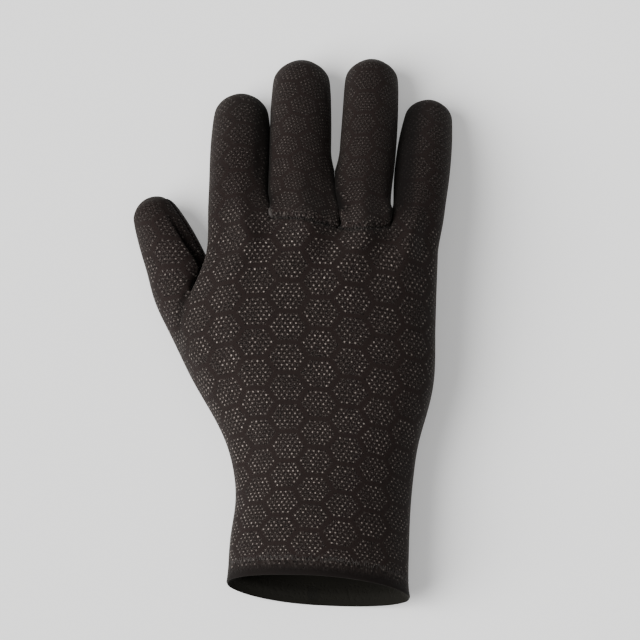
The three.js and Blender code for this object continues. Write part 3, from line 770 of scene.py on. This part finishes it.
# The print is worn at the fingertips: by a share at each tip that fades in a bell curve of the distance.
tipWear = {"reach": 12.0, "share": 0.6}
tips = np.array([cage[cap[2, 2]] for ids, cap in digits.values()])
fromTips = np.linalg.norm(skin[:, None] - tips, axis=2).min(1)
tipWorn = tipWear["share"] * np.exp(-(fromTips / tipWear["reach"]) ** 2)

outer = skin + normals * rise[:, None]
outer[:, 2] = np.maximum(outer[:, 2], 0)
thinning = lerp(seamShape["rimWall"], 1, smooth(fromRim / seamShape["rimTaper"]))
inner = skin - normals * (gloveSizes["wall"] * thinning)[:, None]


# Shader maths: a wire is a socket, and an operator on wires adds a Math node.
class Wire:
    def __init__(self, shop, socket):
        self.shop, self.socket = shop, socket

    def __add__(self, other):
        return self.shop.math("ADD", self, other)

    def __radd__(self, other):
        return self.shop.math("ADD", other, self)

    def __sub__(self, other):
        return self.shop.math("SUBTRACT", self, other)

    def __rsub__(self, other):
        return self.shop.math("SUBTRACT", other, self)

    def __mul__(self, other):
        return self.shop.math("MULTIPLY", self, other)

    def __rmul__(self, other):
        return self.shop.math("MULTIPLY", other, self)

    def __truediv__(self, other):
        return self.shop.math("DIVIDE", self, other)

    def __lt__(self, other):
        return self.shop.math("LESS_THAN", self, other)


class Shop:
    def __init__(self, name):
        self.material = bpy.data.materials.new(name)
        self.material.use_nodes = True
        self.tree = self.material.node_tree
        self.tree.nodes.clear()

    # A node of a type: its settings come first, then the values or wires of its sockets.
    def node(self, kind, settings=None, inputs=None, output=0):
        made = self.tree.nodes.new(kind)
        for key, value in (settings or {}).items():
            setattr(made, key, value)
        for key, value in (inputs or {}).items():
            if isinstance(value, Wire):
                self.tree.links.new(value.socket, made.inputs[key])
            else:
                made.inputs[key].default_value = value
        return Wire(self, made.outputs[output]) if len(made.outputs) else made

    def math(self, operation, *values, clamp=False):
        settings = {"operation": operation, "use_clamp": clamp}
        return self.node("ShaderNodeMath", settings, dict(enumerate(values)))

    def clamp(self, value):
        return self.math("ADD", value, 0.0, clamp=True)

    def mixColour(self, factor, a, b):
        fill = {0: factor, 6: a, 7: b}
        return self.node("ShaderNodeMix", {"data_type": "RGBA"}, fill, 2)

    def noise(self, vector, scale, detail=2.0, roughness=0.5):
        fill = {"Vector": vector, "Scale": scale, "Detail": detail, "Roughness": roughness}
        return self.node("ShaderNodeTexNoise", None, fill)

    def attribute(self, name, output="Fac"):
        return self.node("ShaderNodeAttribute", {"attribute_name": name}, None, output)

    # The shader with its bumps, whose height is in millimetres.
    def finish(self, colour, roughness, height, constants):
        fill = {"Base Color": colour, "Roughness": roughness, **constants}
        if height is not None:
            bump = {"Height": height, "Distance": 0.001, "Strength": 1.0}
            fill["Normal"] = self.node("ShaderNodeBump", None, bump)
        shader = self.node("ShaderNodeBsdfPrincipled", None, fill)
        self.node("ShaderNodeOutputMaterial", None, {"Surface": shader})
        return self.material


clothLooks = {
    "dotPitch": 2.44,  # between two dots of a row, mm
    "rowPitch": 1.715,
    "hexagons": (6.0, 4.0, 3.25),  # columns from one to the next, rows that it is shifted by, and the size
    "dotRadius": 0.32,
    "dotEdge": 0.17,
    "dotSpread": (0.78, 0.36),  # the smallest dot's share of the radius, and how much more the largest has
    "dotWobble": (1.5, 0.5),  # the scale of the noise that makes the dots uneven, and its reach in mm
    "dotHeight": 0.07,
    "dotColour": (0.31, 0.264, 0.236, 1),
    "dotFaint": (0.034, 0.029, 0.026, 1),
    "mottleScale": 1.7,
    "mottleDarkSpots": (0.5, 0.58, 1.0),  # the noise from which a dark spot starts and is whole, and how dark it is
    "mottleSpecks": (0.46, 0.38, 0.09),
    "woolScale": 1.7,
    "broadScale": 0.035,
    "toneShares": (0.75, 0.5),  # of the wool and of the broad noise in the cloth's tone
    "patchScale": 0.11,
    "dotShade": (0.08, 0.75, 1.3),  # of all dots, of each dot's own luck and of the patches
    "leastPrint": 0.15,
    "clothDark": (0.0056, 0.0033, 0.0029, 1),
    "clothLight": (0.0158, 0.0102, 0.0090, 1),
    "insideDark": (0.0032, 0.0029, 0.0020, 1),
    "insideLight": (0.0068, 0.0062, 0.0044, 1),
    # the dark of seams and spots, also used for the shade painted into crevices, flanks, the thumb's hollow,
    # creases, pits
    "seamAndShadeColour": (0.0016, 0.0011, 0.0010, 1),
    # how strongly the shade painted into crevices, flanks, the thumb's hollow and the crease darkens the cloth
    "foldShade": 0.95,
    "fluffColour": (0.095, 0.083, 0.075, 1),
    "knitWidth": 0.62,
    "knitHeight": 0.48,
    "knitLag": 2.2,
    "roughness": 0.84,
    "dotGloss": 0.16,
    "woolGloss": 0.1,
    "sheen": 0.045,
    "sheenTint": (0.80, 0.76, 0.68, 1),
    "specular": 0.11,
    # where the print is worn: the first and last place in metres and how much of it goes
    "wearRight": (0.015, 0.06, 0.45),
    "wearLeft": (-0.02, -0.06, 0.45),
    "wearFingers": (0.03, 0.06, 0.58),
    "finerFingers": (0.03, 0.06, 0.16),  # and by how much the dots are smaller there
    "printEnd": (3.5, 7.5),  # the print fades out over these distances from the rim, mm
    "hemZone": (6.0, 4.6, 1.5),  # the stitched zone: its middle, half its width and how it fades, mm
    "streaks": (1.5, 0.45),  # their scale across and along
    "streakNoise": (0.52, 0.72),  # from where one starts and is whole
    "hemFluff": 0.27,
    "specks": (0.95, 0.55, 0.68),  # the noise's scale, and from where one starts and is whole
    "gatherFluff": 1.1,
    "pits": (0.62, 0.53, 0.62),
    "gatherPits": 1.3,
    "hemPits": 0.8,
    # how dark the seams get, and the shade painted into pits
    "pitDark": 0.7,
    "rimShade": (6.5, 2.5, 0.65),  # the cloth darkens between these distances from the rim, and how much
    "seamDark": 0.9,  # how far from a seam the cloth is darker, mm
    "relief": {"ribs": 0.021, "stitches": 0.00875, "wool": 0.03, "fluff": 0.12, "pits": 0.2},  # mm
}


# Printed jersey: dots on a lattice of rows, kept where they lie in a hexagon of 37. A dot's column p and row
# q are measured from the middle of a hexagon, and it is kept where both |q| and |p| + |q| / 2 are at most 3.
def printedJersey(name, looks):
    shop = Shop(name)
    place = shop.node("ShaderNodeUVMap", {"uv_map": "cloth"})
    u = shop.node("ShaderNodeSeparateXYZ", None, {0: place}, 0)
    v = shop.node("ShaderNodeSeparateXYZ", None, {0: place}, 1)
    body = shop.node("ShaderNodeTexCoord", None, None, "Object")
    x = shop.node("ShaderNodeSeparateXYZ", None, {0: body}, 0)
    y = shop.node("ShaderNodeSeparateXYZ", None, {0: body}, 1)
    inside, seam = shop.attribute("inside"), shop.attribute("seam")
    rim, gather, paintedShade = shop.attribute("rim"), shop.attribute("gather"), shop.attribute("paintedShade")
    tip = shop.attribute("tip")

    def between(value, start, end):
        return shop.clamp((value - start) * (1 / (end - start)))

    row = shop.math("ROUND", v / looks["rowPitch"])
    stagger = 0.5 * shop.math("FLOORED_MODULO", row, 2.0)
    column = shop.math("ROUND", u / looks["dotPitch"] - stagger) + stagger
    acrossDot = u - column * looks["dotPitch"]
    alongDot = v - row * looks["rowPitch"]
    away = shop.math("SQRT", acrossDot * acrossDot + alongDot * alongDot)
    wobbleScale, wobbleReach = looks["dotWobble"]
    away = away + wobbleReach * (shop.noise(place, wobbleScale, 1.0, 0.5) - 0.5)

    apart, shift, size = looks["hexagons"]

    def inHexagon(nearColumn):
        p = shop.math("ABSOLUTE", column - nearColumn * apart)
        nearRow = shop.math("FLOORED_MODULO", row - nearColumn * shift + shift, 2 * shift)
        q = shop.math("ABSOLUTE", nearRow - shift)
        return shop.math("MAXIMUM", q, p + q * 0.5) < size

    lower = shop.math("FLOOR", column / apart)
    kept = shop.math("MAXIMUM", inHexagon(lower), inHexagon(lower + 1.0))
    cell = shop.node("ShaderNodeCombineXYZ", None, {0: column, 1: row})
    luckOf = shop.node("ShaderNodeTexWhiteNoise", {"noise_dimensions": "2D"}, {"Vector": cell}, 1)
    luck = shop.node("ShaderNodeSeparateXYZ", None, {0: luckOf}, 0)
    growth = shop.node("ShaderNodeSeparateXYZ", None, {0: luckOf}, 1)
    patchy = shop.noise(place, looks["patchScale"], 2.0, 0.55)
    finer = 1 - looks["finerFingers"][2] * between(y, *looks["finerFingers"][:2])
    radius = looks["dotRadius"] * (looks["dotSpread"][0] + looks["dotSpread"][1] * growth) * finer
    disc = shop.clamp((radius + looks["dotEdge"] - away) / (2 * looks["dotEdge"]))
    printed = kept * (1 - inside) * (1 - tip) * between(rim, *looks["printEnd"])
    dot = disc * printed

    wool = shop.noise(place, looks["woolScale"], 3.0, 0.65)
    broad = shop.noise(place, looks["broadScale"], 2.0, 0.5)
    tone = shop.clamp(looks["toneShares"][0] * wool + looks["toneShares"][1] * broad)
    outside = shop.mixColour(tone, looks["clothDark"], looks["clothLight"])
    lining = shop.mixColour(tone, looks["insideDark"], looks["insideLight"])
    colour = shop.mixColour(inside, outside, lining)

    # Round the dots of a hexagon the ground is mottled: small dark spots and faint specks of the dots'
    # colour.
    mottle = shop.noise(place, looks["mottleScale"], 2.0, 0.7)
    for key, tint in (("mottleDarkSpots", looks["seamAndShadeColour"]), ("mottleSpecks", looks["dotColour"])):
        start, end, share = looks[key]
        colour = shop.mixColour(between(mottle, start, end) * printed * share, colour, tint)

    wear = 1
    for key, axis in (("wearRight", x), ("wearLeft", x), ("wearFingers", y)):
        start, end, share = looks[key]
        wear = wear - share * between(axis, start, end)
    least, ofLuck, ofPatches = looks["dotShade"]
    shade = shop.clamp(least + ofLuck * luck * luck + ofPatches * (patchy - 0.5))
    shade = shade * shop.math("MAXIMUM", wear, looks["leastPrint"])
    colour = shop.mixColour(dot, colour, shop.mixColour(shade, looks["dotFaint"], looks["dotColour"]))

    # Fluff: short streaks across the hem's stitches, and specks and pits where the finger backs are
    # gathered in. A pit sinks in by a bump, and its dark is painted shade.
    streakAcross, streakAlong = looks["streaks"]
    streakPlace = shop.node("ShaderNodeCombineXYZ", None, {0: u * streakAcross, 1: v * streakAlong})
    streaks = between(shop.noise(streakPlace, 1.0, 2.0, 0.6), *looks["streakNoise"])
    middle, half, fade = looks["hemZone"]
    hemZone = shop.clamp((half - shop.math("ABSOLUTE", rim - middle)) * (1 / fade))
    specks = between(shop.noise(place, looks["specks"][0], 2.0, 0.6), *looks["specks"][1:])
    fluff = streaks * hemZone * looks["hemFluff"] + specks * gather * looks["gatherFluff"]
    fluff = shop.clamp(fluff) * (1 - inside)
    colour = shop.mixColour(fluff, colour, looks["fluffColour"])
    pits = between(shop.noise(place, looks["pits"][0], 1.0, 0.5), *looks["pits"][1:])
    pits = pits * shop.clamp(gather * looks["gatherPits"] + hemZone * looks["hemPits"])
    wornAndShaded = shop.clamp(looks["pitDark"] * (shop.clamp(1 - seam / looks["seamDark"]) + pits)) * (1 - inside)
    rimShade = looks["rimShade"][2] * between(rim, *looks["rimShade"][:2]) * (1 - inside)
    # the darkest wins: seams, pits, the rim's shade, and the shade painted into crevices, flanks, the hollow
    # and the crease
    wornAndShaded = shop.math("MAXIMUM", shop.math("MAXIMUM", wornAndShaded, rimShade), paintedShade * looks["foldShade"])
    colour = shop.mixColour(wornAndShaded, colour, looks["seamAndShadeColour"])

    # Knitting: ribs across, whose loops rise and fall along and lag in the middle of each rib.
    ribs = shop.math("ABSOLUTE", shop.math("SINE", u * (math.pi / looks["knitWidth"])))
    stitches = shop.math("SINE", v * (2 * math.pi / looks["knitHeight"]) + ribs * looks["knitLag"])
    relief = looks["relief"]
    height = relief["ribs"] * ribs + relief["stitches"] * stitches + looks["dotHeight"] * dot
    height = height + relief["wool"] * wool + relief["fluff"] * fluff - relief["pits"] * pits
    roughness = shop.clamp(looks["roughness"] - looks["dotGloss"] * dot + looks["woolGloss"] * (wool - 0.5))
    return shop.finish(colour, roughness, height, {
        "Sheen Weight": looks["sheen"], "Sheen Roughness": 0.45, "Sheen Tint": looks["sheenTint"],
        "Specular IOR Level": looks["specular"]})


hemLooks = {**clothLooks, "clothDark": (0.0058, 0.0038, 0.0033, 1), "clothLight": (0.0140, 0.0094, 0.0080, 1)}
jersey = printedJersey("printed_jersey", clothLooks)
hemCloth = printedJersey("hem_jersey", hemLooks)
print("materials made")


# A panel: its outer face, the same face a wall's thickness deeper, and a strip of quads round every edge.
def panelPiece(name, material):
    own = panels == panelNames.index(name)
    faces, ownCloth = quads[own], cloth[own]
    ids, local = np.unique(faces, return_inverse=True)
    local = local.reshape(-1, 4)
    count = len(ids)
    ends = np.stack([local, np.roll(local, -1, 1)], 2).reshape(-1, 2)
    keys = ends[:, 0] * count + ends[:, 1]
    free = ~np.isin(keys, ends[:, 1] * count + ends[:, 0])
    strip = ends[free]
    stripCloth = np.stack([ownCloth, np.roll(ownCloth, -1, 1)], 2).reshape(-1, 2, 2)[free]
    walls = np.concatenate([strip[:, ::-1], strip + count], 1)
    everything = np.concatenate([local, local[:, ::-1] + count, walls])
    place = np.concatenate([outer[ids], inner[ids]])
    uv = np.concatenate([ownCloth, ownCloth[:, ::-1], np.concatenate([stripCloth[:, ::-1], stripCloth], 1)])
    seamHere = np.minimum(fromPerimeter, fromBase)[ids]
    fields = {"seam": seamHere, "rim": fromRim[ids], "gather": gathered[ids], "paintedShade": paintedShade[ids],
              "tip": tipWorn[ids]}
    marks = {"inside": np.repeat([0.0, 1.0], count)}
    marks.update({key: np.tile(field, 2) for key, field in fields.items()})
    piece = surfaceObject(name + "_cloth", place / 1000, everything, material, uv, marks,
                          np.concatenate([strip, strip + count]))
    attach(piece, "root")
    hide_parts(name)
    return piece


def surfaceObject(name, place, faces, material, uv=None, attributes=None, creases=None):
    mesh = bpy.data.meshes.new(name)
    mesh.vertices.add(len(place))
    mesh.vertices.foreach_set("co", np.asarray(place, np.float32).reshape(-1))
    mesh.loops.add(faces.size)
    mesh.loops.foreach_set("vertex_index", faces.reshape(-1).astype(np.int32))
    mesh.polygons.add(len(faces))
    mesh.polygons.foreach_set("loop_start", np.arange(0, faces.size, faces.shape[1], dtype=np.int32))
    mesh.polygons.foreach_set("loop_total", np.full(len(faces), faces.shape[1], np.int32))
    mesh.update(calc_edges=True)
    mesh.polygons.foreach_set("use_smooth", np.ones(len(faces), bool))
    if uv is not None:
        mesh.uv_layers.new(name="cloth").data.foreach_set("uv", uv.astype(np.float32).reshape(-1))
    for key, values in (attributes or {}).items():
        mesh.attributes.new(key, "FLOAT", "POINT").data.foreach_set("value", values.astype(np.float32))
    if creases is not None:
        ends = np.zeros(len(mesh.edges) * 2, np.int32)
        mesh.edges.foreach_get("vertices", ends)
        keys = np.sort(ends.reshape(-1, 2), 1) @ [len(place), 1]
        isCrease = np.isin(keys, np.sort(creases, 1) @ [len(place), 1])
        mesh.attributes.new("sharp_edge", "BOOLEAN", "EDGE").data.foreach_set("value", isCrease)
    mesh.materials.append(material)
    piece = bpy.data.objects.new(name, mesh)
    bpy.context.scene.collection.objects.link(piece)
    return piece


for name in panelNames:
    material, slotName = (hemCloth, "hem") if name == "cuff_hem" else (jersey, "jersey")
    made = panelPiece(name, material)
    print("panel made:", made.name, len(made.data.polygons), "quads")


# Stitches: each is a thin arched bar over the seam. Its path is across * reach + along * slant + up *
# arch, and its section a pentagon round that path.
threadLooks = {
    "colour": (0.036, 0.029, 0.025, 1),
    "pale": (0.036, 0.030, 0.026, 1),
    "darkest": 0.45,  # the darkest thread's share of the colour
    "fuzzScale": 2600.0,
    "fuzzHeight": 0.06,  # mm
    "spotScale": 160.0,
    "radius": 0.15,
    "side": {"pitch": 1.9, "reach": 2.2, "slant": 0.7, "arch": 0.15, "sunk": 0.15, "jitter": 0.15},
    "base": {"pitch": 1.2, "reach": 3.0, "slant": 0.4, "arch": 0.4, "sunk": 0.3, "jitter": 0.5},
    "hemTop": {"pitch": 0.72, "reach": 3.0, "slant": 0.05, "arch": 0.14, "sunk": 0.12, "jitter": 1.6},
    # how unevenly they are sewn: shares of the pitch and of the reach, and mm on top of the slant
    "shifts": (-0.3, 0.3),
    "lengths": (0.6, 1.15),
    "slants": (-0.2, 0.2),
    "lookAhead": 0.8,  # how far to each side the seam's direction is read, mm
    "points": 6,
    "sides": 5,
    "seed": 5,
}


def alongChain(chain, pitch, surface):
    # Points nearly evenly along a seam, with the surface's normal and the seam's own direction there.
    places, ups = surface[chain], normals[chain]
    steps = np.concatenate([[0], np.cumsum(np.linalg.norm(np.diff(places, axis=0), axis=1))])
    count = int(steps[-1] / pitch)
    wanted = (np.arange(count) + 0.5) * steps[-1] / count
    rng = np.random.default_rng(threadLooks["seed"])
    wanted = wanted + rng.uniform(*threadLooks["shifts"], count) * pitch
    near = threadLooks["lookAhead"]

    def at(values, where):
        return np.stack([np.interp(where, steps, values[:, axis]) for axis in range(3)], 1)

    forward = unit(at(places, wanted + near) - at(places, wanted - near))
    up = unit(at(ups, wanted))
    return at(places, wanted), unit(np.cross(forward, up)), forward, up


def stitchMesh(chains, style, surface):
    barPoints, barSides = threadLooks["points"], threadLooks["sides"]
    bars = []
    rng = np.random.default_rng(threadLooks["seed"] + 1)
    for chain in chains:
        place, across, forward, up = alongChain(chain, style["pitch"], surface)
        count = len(place)
        t = np.linspace(-1, 1, barPoints)[None, :, None]
        reach = style["reach"] / 2 * rng.uniform(*threadLooks["lengths"], (count, 1, 1))
        slant = style["slant"] + rng.uniform(*threadLooks["slants"], (count, 1, 1))
        offset = rng.uniform(-1, 1, (count, 1, 1)) * style["jitter"]
        lift = style["arch"] * (1 - t ** 2) - style["sunk"] * t ** 4
        path = (place[:, None] + across[:, None] * (reach * t + offset) + forward[:, None] * slant * t
                + up[:, None] * lift)
        angle = (np.arange(barSides) * 2 * np.pi / barSides)[None, None, :, None]
        side = forward[:, None, None] * np.cos(angle) + up[:, None, None] * np.sin(angle)
        bars.append(path[:, :, None] + side * threadLooks["radius"])
    points = np.concatenate(bars)
    ids = np.arange(points.size // 3).reshape(-1, barPoints, barSides)
    turned = np.roll(ids, -1, 2)
    faces = np.stack([ids[:, :-1], ids[:, 1:], turned[:, 1:], turned[:, :-1]], -1).reshape(-1, 4)
    return points.reshape(-1, 3) / 1000, faces


def threadMaterial(name, colour):
    shop = Shop(name)
    place = shop.node("ShaderNodeTexCoord", None, None, "Object")
    fuzz = shop.noise(place, threadLooks["fuzzScale"], 2.0, 0.6)
    spots = shop.noise(place, threadLooks["spotScale"], 2.0, 0.5)
    darker = tuple(threadLooks["darkest"] * part for part in colour[:3]) + (1,)
    tint = shop.mixColour(shop.clamp(0.5 * fuzz + 0.6 * spots), darker, colour)
    return shop.finish(tint, shop.clamp(0.62 + 0.2 * fuzz), threadLooks["fuzzHeight"] * fuzz, {
        "Sheen Weight": 0.25, "Sheen Roughness": 0.4, "Specular IOR Level": 0.35})


threadDark = threadMaterial("seam_thread", threadLooks["colour"])
threadPale = threadMaterial("hem_thread", threadLooks["pale"])
for name, rows, style, material, slotName in (
        ("side_seam_stitches", [chains["perimeter"]], "side", threadDark, "jersey"),
        ("finger_base_stitches", [chains["middleBase"], chains["ringBase"]], "base", threadDark, "jersey"),
        ("hem_stitches", [chains["hem"]], "hemTop", threadPale, "hem")):
    place, faces = stitchMesh(rows, threadLooks[style], outer)
    place[:, 2] = np.maximum(place[:, 2], 0)
    piece = surfaceObject(name, place, faces, material)
    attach(piece, "root")
    print("stitches made:", name)

# The end of the middle finger's seam stands out of the fork as a small tab. It starts at the seam point
# with the number "start", moved by "startShift".
seamTab = {
    "start": 24, "startShift": (0, -0.6, -0.3),
    "lean": (-1.3, 5.4, 0.5), "rise": 0.9,
    "across": 1.1, "thick": 0.6, "shrink": 0.45, "roundEnd": 6,
    "rings": 13, "sides": 10,
    "colour": (0.042, 0.034, 0.030, 1),
}


# A tube whose centre runs along the lean and rises by a sine. Its radius shrinks with the square of the
# way and closes by the root of 1 - way to the power roundEnd.
def tabMesh():
    t = np.linspace(0, 1, seamTab["rings"])[:, None]
    start = outer[chains["middleBase"][seamTab["start"]]] + seamTab["startShift"]
    spine = start + t * seamTab["lean"] + np.sin(np.pi * t) * [0, 0, seamTab["rise"]]
    ahead = unit(np.gradient(spine, axis=0))
    across = unit(np.cross(ahead, [0, 0, 1.0]))
    above = np.cross(across, ahead)
    angle = (np.arange(seamTab["sides"]) * 2 * np.pi / seamTab["sides"])[:, None]
    size = np.sqrt(np.maximum(1 - t ** seamTab["roundEnd"], 0.02)) * (1 - seamTab["shrink"] * t ** 2)
    tube = (spine[:, None] + (across * size)[:, None] * seamTab["across"] * np.cos(angle)
            + (above * size)[:, None] * seamTab["thick"] * np.sin(angle))
    ids = np.arange(tube.size // 3).reshape(-1, seamTab["sides"])
    turned = np.roll(ids, -1, 1)
    faces = np.stack([ids[:-1], turned[:-1], turned[1:], ids[1:]], -1).reshape(-1, 4)
    return tube.reshape(-1, 3) / 1000, faces


piece = surfaceObject("seam_tab", *tabMesh(), threadMaterial("tab_cloth", seamTab["colour"]))
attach(piece, "root")
print("seam tab made")

# The floor, the light and the camera. The photograph's frame is 640 pixels, 2.15 to the millimetre, seen
# from 70 degrees above the floor.
studio = {
    "elevation": 70.0,
    "distance": 5.0,
    "frameWidth": 0.29767,
    "aim": (0.01247, 8.22),  # x in metres, and mm up the picture's plane
    "sensor": 36.0,
    "farthest": 50.0,
    "floorHalf": 3.0,
    "floorUnder": 0.0002,  # how far the floor lies under the glove, metres
    "floorRoughness": 0.9,
    "floorColour": (0.86, 0.86, 0.855, 1),
    "floorGlow": 0.35,
    "worldStrength": 0.20,
    "keySun": {"energy": 6.0, "angle": 50.0, "from": (-0.9, -0.35, 0.85)},
    "fillSun": {"energy": 0.5, "angle": 60.0, "from": (0.1, -0.3, 1.0)},
}
elevation = math.radians(studio["elevation"])
back = Vector((0, -math.cos(elevation), math.sin(elevation)))
upward = Vector((0, math.sin(elevation), math.cos(elevation)))
aim = Vector((studio["aim"][0], 0, 0)) + upward * (studio["aim"][1] / 1000)
camera = bpy.data.objects.new("camera", bpy.data.cameras.new("camera"))
bpy.context.scene.collection.objects.link(camera)
camera.data.sensor_width = studio["sensor"]
camera.data.lens = studio["sensor"] * studio["distance"] / studio["frameWidth"]
camera.data.clip_end = studio["farthest"]
camera.location = aim + back * studio["distance"]
camera.rotation_mode = "QUATERNION"
camera.rotation_quaternion = back.to_track_quat("Z", "Y")
bpy.context.scene.camera = camera

world = bpy.data.worlds.new("studio")
world.use_nodes = True
world.node_tree.nodes["Background"].inputs["Color"].default_value = (1, 1, 1, 1)
world.node_tree.nodes["Background"].inputs["Strength"].default_value = studio["worldStrength"]
bpy.context.scene.world = world
for name in ("keySun", "fillSun"):
    sun = bpy.data.objects.new(name, bpy.data.lights.new(name, "SUN"))
    sun.data.energy = studio[name]["energy"]
    sun.data.angle = math.radians(studio[name]["angle"])
    sun.rotation_mode = "QUATERNION"
    sun.rotation_quaternion = Vector(studio[name]["from"]).to_track_quat("Z", "Y")
    bpy.context.scene.collection.objects.link(sun)

floorMaterial = Shop("floor").finish(studio["floorColour"], studio["floorRoughness"], None, {
    "Emission Color": studio["floorColour"], "Emission Strength": studio["floorGlow"]})
half, under = studio["floorHalf"], -studio["floorUnder"]
corners = np.array([[-half, -half, under], [half, -half, under], [half, half, under], [-half, half, under]])
floor = surfaceObject("floor", corners, np.array([[0, 1, 2, 3]]), floorMaterial)
print("studio made")
